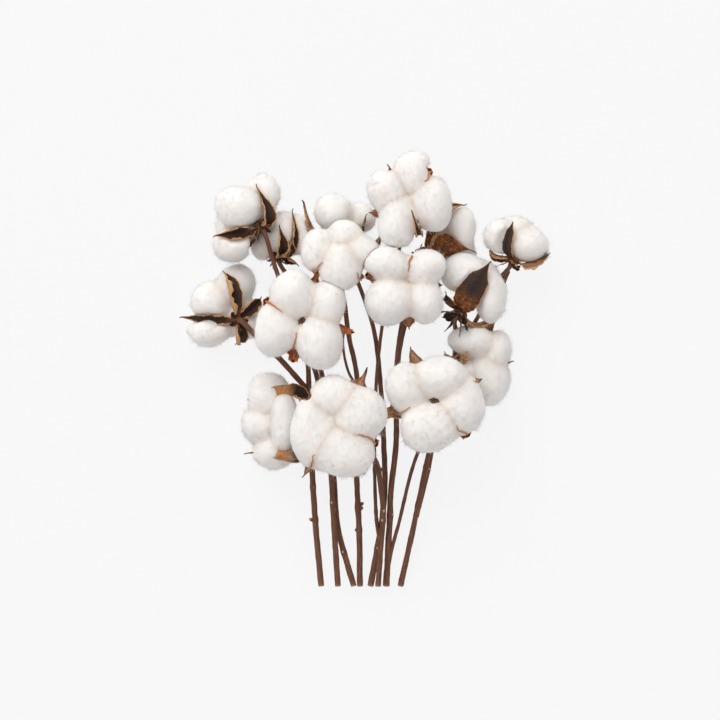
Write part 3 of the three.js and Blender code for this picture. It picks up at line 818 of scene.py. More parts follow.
def blade_prongs(u, fork, prong):
    """How far each point of a blade is drawn out along it, into the prongs of its fork."""
    outer = fork * np.exp(-((COLUMNS - PRONG_PLACE) / PRONG_SPREAD) ** 2)
    middle = prong * np.exp(-(COLUMNS / MIDDLE_PRONG_SPREAD) ** 2)
    return (outer + middle)[None] * smooth_step(u, PRONG_START, 1)[:, None] ** 2


def there_and_back(left, right):
    """A row of numbers from the left rim to the right one on the outside, and back on the inside."""
    row = np.concatenate([left[:0:-1], right])
    return np.concatenate([row, row[::-1]])[None]


def add_blade(pile, path, inward, across, width, dish, roll, seed, look, fork=0.0, prong=0.0, lean=0.0,
              thickness=(VALVE_KEEL_THICKNESS, VALVE_RIM_THICKNESS), ribbed=1.0):
    """A thin hollow blade along a path, with rolled wavy rims. A fork ends it in two pointed prongs, or
    in three. ribbed is how strong the rib along its keel is."""
    u = np.linspace(0, 1, len(path))
    along = distances(path)
    phase = np.random.default_rng(seed).uniform(0, 2 * np.pi, 4)
    tangent = tangents(path)
    sections = blade_halves(width, dish, roll, lean, along, phase)
    prongs = blade_prongs(u, fork, prong)
    thin, rib = blade_thickness(u, width, thickness, ribbed)
    width_wave = np.where(dish > 0, *WIDTH_WAVE)[:, None]
    rim_share = COLUMNS[None] ** 2 * np.minimum(width[:, None] / WAVE_WIDTH, 1)
    rings = []
    for inner in (-1, 1):
        skin = inner * thin / 2 + (rib if inner > 0 else KEEL_RIB_OUTSIDE * rib)
        sides = []
        for sign, (half_across, half_lift, half_angle) in zip((-1, 1), sections):
            wave = along[:, None] * WAVE_ALONG + phase[0] * sign + WAVE_ACROSS * COLUMNS[None]
            wobble = sum(size * np.sin(pace * wave + shift)
                         for (size, pace), shift in zip(RIM_WAVES, (0, phase[1], phase[2])))
            rise = half_lift + np.cos(half_angle) * skin + wobble * rim_share
            out = half_across - np.sin(half_angle) * skin
            spread = sign * out * (1 + width_wave * np.sin(wave + phase[2]))
            point = path[:, None] + across[:, None] * spread[..., None]
            point = point + inward[:, None] * rise[..., None]
            sides.append(point + tangent[:, None] * prongs[..., None])
        whole = np.concatenate([sides[0][:, :0:-1], sides[1]], axis=1)
        rings.append(whole if inner < 0 else whole[:, ::-1])
    points, faces = thin_loft(np.concatenate(rings, axis=1))
    side = there_and_back(COLUMNS, COLUMNS)
    aside = there_and_back(-COLUMNS, COLUMNS) * width[:, None]
    inside = np.repeat([0.0, 1.0], side.size // 2)[None]
    grain = along[:, None], aside, seed % BUR_GRAINS
    values = dict(parts=(inside, side, u[:, None]), grain=grain, look=look)
    spread = {name: spread_out(aside.shape, *value).reshape(-1, 3) for name, value in values.items()}
    pile.add(points, faces, **spread)


def with_spine(valve, seed):
    """The valve's stations, and on past its tip those of a thin curled spine."""
    random = np.random.default_rng(seed)
    turn = np.linspace(0, random.uniform(*SPINE_CURL), SPINE_STATIONS + 1)[1:, None]
    length = valve.numbers["spine"] * random.uniform(*SPINE_LENGTHS) / SPINE_STATIONS
    lean = random.uniform(*SPINE_LEAN)
    tangent = unit(valve.tangent[-1] * np.cos(turn) - valve.inward[-1] * np.sin(turn)
                   + valve.across[-1] * lean * turn)
    path = valve.path[-1] + np.cumsum(tangent * length, axis=0)
    inward = unit(np.cross(tangent, valve.across[-1]))
    fade = np.linspace(1, 0, SPINE_STATIONS + 1)[1:]
    width = SPINE_TIP + (valve.width[-1] - SPINE_TIP) * fade ** SPINE_TAPER
    return (np.concatenate([valve.path, path]), np.concatenate([valve.inward, inward]),
            np.concatenate([valve.width, width]))


def add_valve(pile, valve, seed, amber, orange):
    """A valve with a forked end, or else with a curled spine."""
    fork = valve.numbers["fork"]
    turn = ROLL_TURN if valve.dish[0] < 0 else BOAT_ROLL_TURN
    if fork:
        path, inward, width, dish = valve.path, valve.inward, valve.width, valve.dish
        across = valve.across
        roll = turn * (1 - FORK_UNROLL * smooth_step(valve.u, *FORK_ROLL_FADE))
        kind = FORKED
    else:
        path, inward, width = with_spine(valve, seed)
        across = np.concatenate([valve.across, np.repeat(valve.across[-1:], SPINE_STATIONS, axis=0)])
        dish = np.full(len(path), valve.dish[0])
        roll = np.full(len(path), turn)
        kind = POINTED
    add_blade(pile, path, inward, across, width, dish, roll, seed, (amber, orange, kind), fork=fork,
              prong=valve.numbers["prong"], lean=valve.numbers["lean"])


class Heights:
    """How high the locks of a boll reach at each place, from their points."""

    def __init__(self, points):
        self.low = points[:, :2].min(axis=0)
        place = ((points[:, :2] - self.low) / HEIGHT_CELL).astype(int)
        self.grid = np.zeros(place.max(axis=0) + 3)
        np.maximum.at(self.grid, (place[:, 0], place[:, 1]), points[:, 2])

    def at(self, x, y):
        place = [np.clip(((value - low) / HEIGHT_CELL).astype(int), 0, size - 2)
                 for value, low, size in zip((x, y), self.low, self.grid.shape)]
        return np.maximum(self.grid[place[0], place[1]], self.grid[place[0] + 1, place[1]])


def crease_path(heights, start, way, across, step):
    """The path of the lowest ground between two locks, from a start on along about one way."""
    aside = np.linspace(-RIDGE_SEARCH, RIDGE_SEARCH, RIDGE_TRIES)
    x = start[0] + way[0] * step[:, None] + across[0] * aside
    y = start[1] + way[1] * step[:, None] + across[1] * aside
    gone = np.maximum(step, 0)
    reach = np.minimum(gone[:, None] * RIDGE_SLOPE, RIDGE_SEARCH)
    too_far = np.abs(aside) > reach + 0.01
    valley = (heights.at(x, y) + STRAYING_COST * aside ** 2 + NO_WAY * too_far).argmin(axis=1)
    row = np.arange(len(step))
    path = np.stack([x[row, valley], y[row, valley], np.full(len(step), start[2])], axis=1)
    draw_even(path, 8)
    path[:, 2] = heights.at(path[:, 0], path[:, 1]) + RIDGE_LIFT
    path[:, 2] = np.maximum(path[:, 2], start[2] - RIDGE_SLOPE * gone)
    draw_even(path[:, 2], 4)
    return path


def add_ridge(pile, valve, heights, seed, amber, orange):
    """The thin edge of the bur's inner wall, which lies in the crease on from a valve's tip."""
    length = valve.numbers["ridge"]
    start = valve.path[RIDGE_STATION]
    way = unit(placed(BOLLS[valve.boll]["at"])[:2] - start[:2])
    across = np.array([-way[1], way[0], 0.0])
    step = np.linspace(RIDGE_START, length, 3 * round(length) + 4)
    path = crease_path(heights, start, way, across, step)
    half = RIDGE_TIP + RIDGE_HALF * np.linspace(1, 0, len(step)) ** RIDGE_TAPER
    turns = turns_of(RIDGE_SIDES)
    up = np.cross(np.broadcast_to(across, path.shape), tangents(path))
    up *= np.sign(up[:, 2:])
    ring = circle(across, RIDGE_HEIGHT * up[:, None], turns) * half[:, None, None]
    grain = step[:, None], turns, seed % BUR_GRAINS
    add_loft(pile, path[:, None] + ring, parts=RIDGE_PARTS, grain=grain, look=(amber, orange, FORKED))


def add_receptacle(pile, at, axis, seed):
    """The woody button that the valves and the locks grow from."""
    turns = turns_of(RECEPTACLE_SIDES)
    first = unit(np.cross(axis, [0.3, 0.5, 0.8]))
    knobs = 1 + RECEPTACLE_KNOB * np.sin(RECEPTACLE_KNOBS * turns + seed)
    ring = circle(first, np.cross(axis, first), turns) * knobs[:, None]
    rings = at + axis * RECEPTACLE_HEIGHTS[:, None, None] + ring * RECEPTACLE_RADII[:, None, None]
    grain = RECEPTACLE_HEIGHTS[:, None], turns * 4, RECEPTACLE_GRAIN
    add_loft(pile, rings, parts=RECEPTACLE_PARTS, grain=grain, look=(0.0, 0.0, LEAFY))


def add_core(pile, at, heights, size, seed):
    """The dark dried remains in the middle of an open boll, where its locks meet."""
    random = np.random.default_rng(seed)
    top = np.array([at[0], at[1], heights.at(at[:1], at[1:2])[0] + CORE_LIFT])
    for place in range(CORE_FLAPS):
        turn = 2 * np.pi * (place + random.uniform(*SCATTER)) / CORE_FLAPS
        out = np.array([math.cos(turn), math.sin(turn), 0])
        across = np.array([-math.sin(turn), math.cos(turn), 0])
        u = np.linspace(0, 1, CORE_STATIONS)[:, None]
        drop = np.array([0, 0, -1]) * (0.9 * u ** 2 + 0.5 * np.sin(9 * u + place))
        path = top + out * (CORE_START + u * size * random.uniform(*CORE_LENGTH)) + drop
        inward = unit(np.cross(across, tangents(path)))
        width = size * (0.35 + 0.7 * np.sin(np.pi * np.clip(0.2 + 0.75 * u[:, 0], 0, 1)))
        dish = np.full(CORE_STATIONS, CORE_DISH)
        roll = np.full(CORE_STATIONS, CORE_ROLL)
        add_blade(pile, path, inward, np.broadcast_to(across, path.shape), width, dish, roll, seed + place,
                  (0.0, 0.3, LEAFY), thickness=CORE_THICKNESS, ribbed=LEAF_RIB)


def add_sepals(pile, at, axis, size, reflex, seed):
    """The dried calyx under the bur: five small crumpled sepals and three narrow bracts."""
    random = np.random.default_rng(seed)
    first = unit(np.cross(axis, [0.2, 0.9, 0.4]))
    second = np.cross(axis, first)
    for place in range(SEPALS + BRACTS):
        bract = place >= SEPALS
        kind = BRACT if bract else SEPAL
        turn = 2 * np.pi * (place + 0.5 * bract + random.uniform(*SCATTER)) / SEPALS
        out = first * math.cos(turn) + second * math.sin(turn)
        across = unit(np.cross(axis, out))
        length = (min(size, BRACT_MOST_SIZE) if bract else size) * random.uniform(*kind["length"])
        half = size * random.uniform(*kind["half"])
        u = np.linspace(0, 1, LEAF_STATIONS)[:, None]
        droop = reflex + random.uniform(*kind["droop"])
        start = at + axis * kind["low"] + out * kind["out"]
        waves = np.sin(u * random.uniform(*CRUMPLE_PACE) + random.uniform(*CRUMPLE_START))
        crumple = LEAF_CRUMPLE * size * waves * u
        bend = axis * (droop * u ** 1.4 * length - 0.8 * np.sin(np.pi * u) + crumple)
        path = start + out * u * length * 0.75 + bend
        path = path + across * (random.uniform(*LEAF_SWAY) * u ** 2 + 0.4 * np.sin(7 * u) * u)
        path[:, 2] = np.maximum(path[:, 2], CALYX_LOWEST)
        twist = random.uniform(*kind["twist"]) * u
        flat = unit(np.cross(tangents(path), across))
        turned = across * np.cos(twist) + flat * np.sin(twist)
        inward = unit(np.cross(tangents(path), turned))
        width = half * (np.sin(np.pi * (0.12 + 0.86 * u[:, 0])) ** 0.7) + 0.1
        dish = np.full(LEAF_STATIONS, random.uniform(*LEAF_DISH))
        roll = np.full(LEAF_STATIONS, random.uniform(*LEAF_ROLL))
        add_blade(pile, path, inward, turned, width, dish, roll, seed * 31 + place,
                  (BRACT_TONE * bract, 0.0, LEAFY), thickness=LEAF_THICKNESS, ribbed=LEAF_RIB)


# Stems


def smooth_route(corners):
    """Points at even steps along the curve that the CAD model's limbs follow."""
    corners = np.concatenate([[2 * corners[0] - corners[1]], corners, [2 * corners[-1] - corners[-2]]])
    runs = []
    t = np.linspace(0, 1, ROUTE_STEPS, endpoint=False)[:, None]
    for a, b, c, d in zip(corners, corners[1:], corners[2:], corners[3:]):
        ab, bc, cd = (math.sqrt(np.linalg.norm(q - p)) for p, q in ((a, b), (b, c), (c, d)))
        leave = bc * ((b - a) / ab - (c - a) / (ab + bc) + (c - b) / bc)
        arrive = bc * ((c - b) / bc - (d - b) / (bc + cd) + (d - c) / cd)
        runs.append(b + leave * t + (3 * (c - b) - 2 * leave - arrive) * t ** 2
                    + (2 * (b - c) + leave + arrive) * t ** 3)
    path = np.concatenate([*runs, corners[-2:-1]])
    along = distances(path)
    even = np.linspace(0, along[-1], max(6, round(along[-1] / STEM_STEP)))
    return np.stack([np.interp(even, along, path[:, k]) for k in range(3)], axis=1), even


def carried_frames(path):
    """Two directions square to the path at each of its points, without twist."""
    tangent = tangents(path)
    normal = unit(np.cross(tangent[0], [0.1, 0.2, 1.0]))
    normals = []
    for way in tangent:
        normal = unit(normal - way * (normal @ way))
        normals.append(normal)
    normals = np.array(normals)
    return tangent, normals, np.cross(tangent, normals)


def add_limb(pile, path, along, radius, seed, cut_start=False):
    """A woody limb with bark along a path."""
    tangent, first, second = carried_frames(path)
    turns = turns_of(STEM_SIDES)
    ring = circle(first[:, None], second[:, None], turns)
    skin = path[:, None] + ring * radius[:, None, None]
    streaks = sum(size * np.sin(count * turns[None] + pace * along[:, None] + share * seed)
                  for size, count, pace, share in BARK_STREAKS)
    knots = KNOT_RELIEF * ripple(skin.reshape(-1, 3), seed + 5, *KNOT_WAVES).reshape(skin.shape[:2])
    grown = radius[:, None] * (1 + streaks + knots)
    rings = path[:, None] + ring * grown[..., None]
    pale = np.zeros(len(path))
    if cut_start:
        face = path[0][None] + ring[0] * (radius[0] * CUT_FACE) - tangent[0] * CUT_DOME
        rings = np.concatenate([face[None], rings])
        along = np.concatenate([[along[0]], along])
        pale = np.concatenate([[1], CUT_PALE * np.exp(-along[1:] / CUT_FADE)])
    add_loft(pile, rings, parts=(pale[:, None], 0.0, 0.0),
             grain=(along[:, None], turns * radius.mean(), seed % BARK_GRAINS))


def add_mark(pile, paths, mark, seed):
    """A bud scar or short stub on the nearest limb, at an x and y that the camera sees."""
    x, y, turn, length, pale = mark
    path, radius = min(paths, key=lambda limb: gap_in_view(limb[0], x, y).min())
    place = gap_in_view(path, x, y).argmin()
    tangent = tangents(path)[place]
    out = np.array([math.sin(math.radians(turn)), 0, math.cos(math.radians(turn))])
    out = unit(out - tangent * (out @ tangent))
    lean = unit(out + MARK_LEAN * tangent)
    start = path[place] + out * radius[place] * MARK_START
    reach = radius[place] * (1 - MARK_START) + length
    u = np.linspace(0, 1, 8)
    stub = start + lean * (u * reach)[:, None]
    stub_radius = MARK_RADIUS - MARK_TAPER * u - MARK_ROUNDING * u ** 6
    turns = turns_of(MARK_SIDES)
    beside = unit(np.cross(lean, tangent))
    knobs = 1 + MARK_KNOB * np.sin(MARK_KNOBS * turns + seed)
    ring = circle(beside, MARK_LENGTHENED * np.cross(beside, lean), turns) * knobs[:, None]
    pale = pale * np.clip(u * 2.4 - 1.1, 0, 1)
    add_loft(pile, stub[:, None] + ring[None] * stub_radius[:, None, None],
             parts=(pale[:, None], 0.0, 0.0), grain=(u[:, None] * reach, turns, seed % MARK_GRAINS))


# Materials


class Shader:
    """A material's nodes, added one at a time."""

    def __init__(self, name):
        self.material = bpy.data.materials.new(name)
        self.material.use_nodes = True
        self.tree = self.material.node_tree
        self.tree.nodes.clear()

    def add(self, kind, inputs=None, output=0, **settings):
        """Adds a node, whose inputs are linked to other nodes or have fixed values."""
        node = self.tree.nodes.new("ShaderNode" + kind)
        for setting, value in settings.items():
            setattr(node, setting, value)
        for socket, value in (inputs or {}).items():
            if isinstance(value, bpy.types.NodeSocket):
                self.tree.links.new(value, node.inputs[socket])
            else:
                node.inputs[socket].default_value = value
        return node.outputs[output]

    def place(self):
        return self.add("TexCoord", output="Object")

    def values(self, name):
        """The three numbers that a mesh keeps at each point under a name."""
        return self.add("Attribute", attribute_name=name, output="Vector")

    def value(self, name, part):
        return self.add("SeparateXYZ", {"Vector": self.values(name)}, output=part)

    def noise(self, where, scale, detail=3.0, roughness=0.55):
        return self.add("TexNoise", {"Vector": where, "Scale": scale, "Detail": detail,
                                     "Roughness": roughness})

    def stretched(self, where, scales):
        return self.add("Mapping", {"Vector": where, "Scale": scales})

    def fit(self, value, low, high, to_low=0.0, to_high=1.0):
        return self.add("MapRange", {"Value": value, "From Min": low, "From Max": high,
                                     "To Min": to_low, "To Max": to_high})

    def times(self, a, b):
        return self.add("Math", {0: a, 1: b}, operation="MULTIPLY")

    def minus(self, a, b):
        return self.add("Math", {0: a, 1: b}, operation="SUBTRACT")

    def blend(self, share, a, b):
        """From one colour to another. A Mix node's colours are its inputs 6 and 7 and its output 2."""
        return self.add("Mix", {0: share, 6: a, 7: b}, output=2, data_type="RGBA")

    def bump(self, height, strength, distance):
        return self.add("Bump", {"Height": height, "Strength": strength, "Distance": distance * METRES})

    def finish(self, shader):
        out = self.tree.nodes.new("ShaderNodeOutputMaterial")
        self.tree.links.new(shader, out.inputs["Surface"])
        return self.material

    def surface(self, colour, rough, shine, **more):
        """The finished material, as a plain surface. Other inputs are named with _ for each space."""
        inputs = {"Base Color": colour, "Roughness": rough, "Specular IOR Level": shine}
        inputs.update({name.replace("_", " "): value for name, value in more.items()})
        return self.finish(self.add("BsdfPrincipled", inputs))


def srgb(red, green, blue):
    """A colour given as it looks on screen, from 0 to 255, as Blender's own."""
    def line(value):
        value /= 255
        return value / 12.92 if value <= 0.04045 else ((value + 0.055) / 1.055) ** 2.4
    return line(red), line(green), line(blue), 1.0


COTTON_LIGHT = srgb(246, 245, 242)
COTTON_SHADE = srgb(242, 240, 237)
# A beige that paints shade into the creases and middles of the locks, and tints them beside a valve and the
# lint
PAINTED_SHADE_AND_TINT_BEIGE = srgb(206, 186, 166)
LINT_DIRT = srgb(96, 84, 80)
BUR_BLACK = srgb(34, 23, 21)
BUR_DARK = srgb(52, 34, 28)
BUR_BROWN = srgb(92, 60, 44)
AMBER_DARK = srgb(66, 38, 23)
BUR_AMBER = srgb(138, 82, 38)
AMBER_BRIGHT = srgb(190, 126, 58)
BUR_TAN = srgb(172, 132, 98)
BUR_PALE = srgb(206, 172, 138)
BUR_GOLD = srgb(214, 166, 110)
BUR_ORANGE = srgb(206, 120, 62)
BARK_DARK = srgb(84, 55, 44)
BARK_BROWN = srgb(128, 88, 67)
BARK_LIGHT = srgb(166, 120, 90)
PITH = srgb(214, 176, 134)


def cotton_material():
    s = Shader("cotton fibre")
    where = s.place()
    cloud = s.noise(where, 90, 3)
    base = s.blend(s.fit(cloud, 0.3, 0.7), COTTON_LIGHT, COTTON_SHADE)
    # Painted shade in the creases and the middle of a boll, and a beige tint beside a valve
    base = s.blend(s.value("tone", "X"), base, PAINTED_SHADE_AND_TINT_BEIGE)
    wisps = s.noise(s.stretched(where, (1, 2.2, 1.4)), 1300, 4, 0.6)
    bump = s.bump(wisps, 0.12, 0.2)
    return s.surface(base, 1.0, 0.0, Normal=bump, Subsurface_Weight=0.5,
                     Subsurface_Radius=(1.0, 0.8, 0.7), Subsurface_Scale=0.003)


def fibre_material():
    s = Shader("loose cotton fibre")
    base = s.blend(s.value("tone", "Z"), COTTON_LIGHT, COTTON_SHADE)
    # Painted crease shade and valve tint carried from each fibre's root, or the lint's own beige
    base = s.blend(s.value("tone", "X"), base, PAINTED_SHADE_AND_TINT_BEIGE)
    base = s.blend(s.value("tone", "Y"), base, LINT_DIRT)
    front = s.add("BsdfDiffuse", {"Color": base, "Roughness": 1.0})
    through = s.add("BsdfTranslucent", {"Color": base})
    return s.finish(s.add("MixShader", {0: 0.35, 1: front, 2: through}))


def bur_material():
    s = Shader("dried bur")
    grain = s.values("grain")
    where = s.place()
    inside, side, up = (s.value("parts", part) for part in "XYZ")
    amber, orange, kind = (s.value("look", part) for part in "XYZ")
    streaks = s.noise(s.stretched(grain, (0.25, 1.6, 1)), 1.0, 4, 0.6)
    blotches = s.noise(where, 420, 4, 0.6)
    net = s.add("TexVoronoi", {"Vector": s.stretched(grain, (0.8, 1.1, 1)), "Scale": 1.1},
                feature="DISTANCE_TO_EDGE")
    web = s.fit(net, 0.0, 0.14)
    # The outside: dark with brown veins, and golden from the foot up as far as amber says
    outer = s.blend(s.fit(streaks, 0.4, 0.7), BUR_DARK, BUR_BROWN)
    outer = s.blend(s.fit(side, 0.1, 0.75, 0.85, 0.0), outer, BUR_BLACK)
    outer = s.blend(s.times(s.fit(web, 0.0, 0.6, 0.6, 0.0), s.fit(side, 0.05, 0.3)), outer, BUR_BROWN)
    golden = s.blend(s.times(web, s.fit(blotches, 0.35, 0.5)), AMBER_DARK, BUR_AMBER)
    golden = s.blend(s.times(web, s.fit(blotches, 0.52, 0.66)), golden, AMBER_BRIGHT)
    low = s.fit(s.minus(s.times(amber, 0.85), up), -0.12, 0.08)
    outer = s.blend(low, outer, golden)
    # The inside: pale with brown spots and worn dark streaks, orange where it is fresh, darker by its edge
    inner = s.blend(s.fit(streaks, 0.35, 0.65), BUR_TAN, BUR_PALE)
    worn = s.noise(s.stretched(grain, (0.16, 0.35, 1)), 1.0, 3)
    inner = s.blend(s.fit(blotches, 0.47, 0.68, 0, 0.65), inner, BUR_BROWN)
    inner = s.blend(s.times(s.fit(worn, 0.5, 0.62), s.fit(kind, 0.6, 0.9, 0.45, 0.0)), inner, BUR_DARK)
    inner = s.blend(s.times(orange, s.fit(blotches, 0.25, 0.5, 0.6, 1.0)), inner, BUR_ORANGE)
    edge = s.times(s.fit(side, 0.42, 0.6), s.fit(side, 0.66, 0.74, 0.75, 0.0))
    inner = s.blend(edge, inner, BUR_BROWN)
    # Both: golden rims, dead tips on pointed valves, woody tips on forked ones, and black in a forked tip's
    # hollow, partly the bur's dark colour and partly painted shade
    colour = s.blend(inside, outer, inner)
    colour = s.blend(s.times(s.fit(side, 0.82, 0.97), s.fit(kind, 0.0, 0.4, 0.15, 0.7)), colour, BUR_GOLD)
    dead = s.times(s.fit(up, 0.68, 0.86), s.fit(kind, 0.6, 0.9, 0.9, 0.0))
    colour = s.blend(dead, colour, BUR_DARK)
    forked = s.fit(kind, 0.6, 0.9)
    woody = s.blend(s.fit(blotches, 0.45, 0.65, 0.0, 0.5), s.blend(orange, BUR_GOLD, BUR_ORANGE), BUR_BROWN)
    colour = s.blend(s.times(s.fit(up, 0.6, 0.8, 0.0, 0.85), forked), colour, woody)
    # Black in the hollow between a fork's prongs on the inside: partly dark bur, partly painted shade
    hollow_black_and_shade = s.times(s.times(s.fit(up, 0.88, 0.92), s.fit(side, 0.2, 0.34, 1.0, 0.0)), forked)
    colour = s.blend(s.times(hollow_black_and_shade, s.fit(inside, 0.4, 0.6)), colour, BUR_BLACK)
    bump = s.bump(s.blend(0.5, streaks, web), 0.7, 0.3)
    return s.surface(colour, s.fit(blotches, 0.3, 0.7, 0.5, 0.8), 0.3, Normal=bump)


def bark_material():
    s = Shader("cotton bark")
    grain = s.values("grain")
    where = s.place()
    pale = s.value("parts", "X")
    streaks = s.noise(s.stretched(grain, (0.09, 2.0, 1)), 1.0, 5, 0.65)
    fine = s.noise(s.stretched(grain, (0.5, 5.0, 1)), 1.4, 4, 0.6)
    blotches = s.noise(where, 130, 3)
    colour = s.blend(s.fit(streaks, 0.36, 0.58), BARK_DARK, BARK_BROWN)
    colour = s.blend(s.fit(streaks, 0.56, 0.74, 0, 0.8), colour, BARK_LIGHT)
    colour = s.blend(s.fit(blotches, 0.5, 0.75, 0, 0.5), colour, BARK_DARK)
    colour = s.blend(s.fit(fine, 0.3, 0.5, 0.4, 0), colour, BARK_DARK)
    colour = s.blend(pale, colour, PITH)
    bump = s.bump(s.blend(0.4, streaks, fine), 0.6, 0.25)
    return s.surface(colour, s.fit(fine, 0.3, 0.7, 0.55, 0.85), 0.25, Normal=bump)


def floor_material():
    s = Shader("floor")
    colour = s.blend(s.noise(s.place(), 3), *FLOOR_GREYS)
    return s.surface(colour, 0.9, 0.0, Emission_Color=(1.0, 1.0, 1.0, 1.0), Emission_Strength=FLOOR_GLOW)


# The bunch


def vertex_normals(points, faces):
    """The skin's outward direction at each point, and the area of each triangle."""
    corners = points[faces]
    face = np.cross(corners[:, 1] - corners[:, 0], corners[:, 2] - corners[:, 0])
    total = np.zeros_like(points)
    for k in range(3):
        np.add.at(total, faces[:, k], face)
    return unit(total + 1e-12), np.linalg.norm(face, axis=1) / 2


def fused(points, faces):
    """One closed skin round the locks of a boll, whose own skins cross each other."""
    mesh = bpy.data.meshes.new("locks")
    mesh.from_pydata(points.tolist(), [], faces.tolist())
    obj = new_object("locks", mesh)
    skin = obj.modifiers.new("skin", "REMESH")
    skin.mode = "VOXEL"
    skin.voxel_size = SKIN_CELL
    shown = obj.evaluated_get(bpy.context.evaluated_depsgraph_get())
    made = shown.to_mesh()
    made.calc_loop_triangles()
    points = np.empty(3 * len(made.vertices), dtype=np.float32)
    made.vertices.foreach_get("co", points)
    faces = np.empty(3 * len(made.loop_triangles), dtype=np.int32)
    made.loop_triangles.foreach_get("vertices", faces)
    shown.to_mesh_clear()
    bpy.data.objects.remove(obj)
    bpy.data.meshes.remove(mesh)
    return points.reshape(-1, 3).astype(float), faces.reshape(-1, 3)


def softened(points, faces):
    """Draws each point towards the middle of its neighbours, a few times over."""
    near = np.concatenate([faces, faces[:, ::-1]]).ravel()
    far = np.concatenate([np.roll(faces, -1, axis=1), np.roll(faces[:, ::-1], -1, axis=1)]).ravel()
    count = np.bincount(near, minlength=len(points))[:, None]
    for _ in range(SKIN_SMOOTHING):
        total = [np.bincount(near, points[far, k], minlength=len(points)) for k in range(3)]
        points = (points + np.stack(total, axis=1) / count) / 2
    return points


def cotton_shade_and_tint(points, name, locks, valves):
    """How much painted crease shade each point of a boll's fibre takes where its locks meet, more in the
    middle of a boll that faces the view, and how much beige tint it takes beside a valve.
    """
    gaps = np.sort([lock.clearance(points) for lock in locks], axis=0)
    # Painted shade in the creases where two locks meet
    crease = CREASE_PAINTED_SHADE * np.exp(-(gaps[1] - gaps[0]) / CREASE_WIDTH)
    stations = np.concatenate([valve.path for valve in valves if valve.boll == name])
    gap = np.linalg.norm(points[:, None] - stations[None, ::3], axis=2).min(axis=1)
    # A beige tint beside a valve
    warm = VALVE_TONE * np.exp(-np.maximum(gap - VALVE_TONE_START, 0) / VALVE_TONE_WIDTH)
    # Painted shade is deeper in the middle of a boll that faces the view
    if BOLLS[name]["axis"][2] > FRONT_AXIS_Z:
        from_middle = np.linalg.norm((points - placed(BOLLS[name]["at"]))[:, :2], axis=1)
        crease = crease * (1 + MIDDLE_PAINTED_SHADE * np.exp(-(from_middle / MIDDLE_WIDTH) ** 2))
    return spread_out(len(points), np.clip(crease + warm, 0, MOST_SHADE_AND_TINT), 0.0, 0.0)


def add_strands(pile, path, normal, tone, random):
    """A closed slender three-sided strand along each path, from its root to its pointed tip."""
    count, stations, _ = path.shape
    way = unit(path[:, -1] - path[:, 0])
    side = unit(np.cross(way, random.normal(size=way.shape)))
    other = np.cross(way, side)
    corners = []
    for station in range(stations - 1):
        radius = FIBRE_RADIUS * (1 - STRAND_TAPER * station)
        for turn in turns_of(3):
            corners.append(path[:, station] + radius * (side * math.cos(turn) + other * math.sin(turn)))
    points = np.stack([*corners, path[:, -1]], axis=1)
    points[..., 2] = np.maximum(points[..., 2], FLOOR_CLEARANCE)
    each = [[0, 2, 1]]
    for station in range(stations - 2):
        for a, b in ((0, 1), (1, 2), (2, 0)):
            low = 3 * station
            each += [[low + a, low + b, low + 3 + b], [low + a, low + 3 + b, low + 3 + a]]
    last, tip = 3 * (stations - 2), 3 * (stations - 1)
    each += [[last + a, last + b, tip] for a, b in ((0, 1), (1, 2), (2, 0))]
    size = points.shape[1]
    faces = (np.arange(count)[:, None, None] * size + np.array(each)[None]).reshape(-1, 3)
    pile.add(points.reshape(-1, 3), faces, normals=np.repeat(normal, size, axis=0),
             tone=np.repeat(tone, size, axis=0))


def curved(start, way, bent, length):
    """The three stations of each fibre that sets out one way and bends off to another."""
    half = length * 0.5
    return np.stack([start, start + way * half, start + (way + bent) * half], axis=1)


def add_fibres(pile, points, faces, tone, shown, seed):
    """Short straight fibres all over a boll where it shows, and longer curved ones."""
    random = np.random.default_rng(seed)
    normals, areas = vertex_normals(points, faces)
    weight = areas * shown[faces].all(axis=1)
    for density, lengths, stations in ((FIBRE_DENSITY, FIBRE_LENGTH, 2), (STRAY_DENSITY, STRAY_LENGTH, 3)):
        count = round(density * weight.sum())
        corners = faces[random.choice(len(faces), count, p=weight / weight.sum())]
        share = random.dirichlet((1, 1, 1), count)[..., None]
        root = (points[corners] * share).sum(axis=1)
        normal = unit((normals[corners] * share).sum(axis=1))
        # Each fibre takes its root's painted shade and tint
        colour = (tone[corners] * share).sum(axis=1)
        flow = np.stack([ripple(root, seed + k, *FLOW_WAVES) for k in range(3)], axis=1)
        way = flow + random.normal(size=(count, 3)) * FIBRE_DISORDER
        way = unit(way - normal * (way * normal).sum(axis=1, keepdims=True))
        angle = random.uniform(*np.radians(FIBRE_LEAN), (count, 1))
        way = way * np.sin(angle) + normal * np.cos(angle)
        length = random.uniform(*lengths, (count, 1))
        start = root - normal * FIBRE_ROOT_DEPTH
        path = np.stack([start, start + way * length], axis=1)
        if stations == 3:
            bent = unit(way + random.normal(size=way.shape) * STRAY_BEND)
            path = curved(start, way, bent, length)
        colour[:, 2] = random.uniform(size=count)
        add_strands(pile, path, normal, colour, random)


def add_lint(pile, spot, seed):
    """A small tuft of loose fibre caught on the bur."""
    random = np.random.default_rng(seed)
    *centre, spread, dirt = spot
    count = round(LINT_COUNT * spread)
    start = placed(centre) + random.normal(size=(count, 3)) * spread * LINT_SPREAD
    way = unit(random.normal(size=(count, 3)) + [0, 0, LINT_RISE])
    bent = unit(way + random.normal(size=(count, 3)) * LINT_BEND)
    length = random.uniform(*LINT_LENGTH, (count, 1))
    dirty = dirt * random.uniform(*LINT_DIRT_SHARE, count)
    tone = spread_out(count, LINT_TONE, dirty, random.uniform(size=count))
    add_strands(pile, curved(start, way, bent, length), unit(way + [0, 0, 1.5]), tone, random)


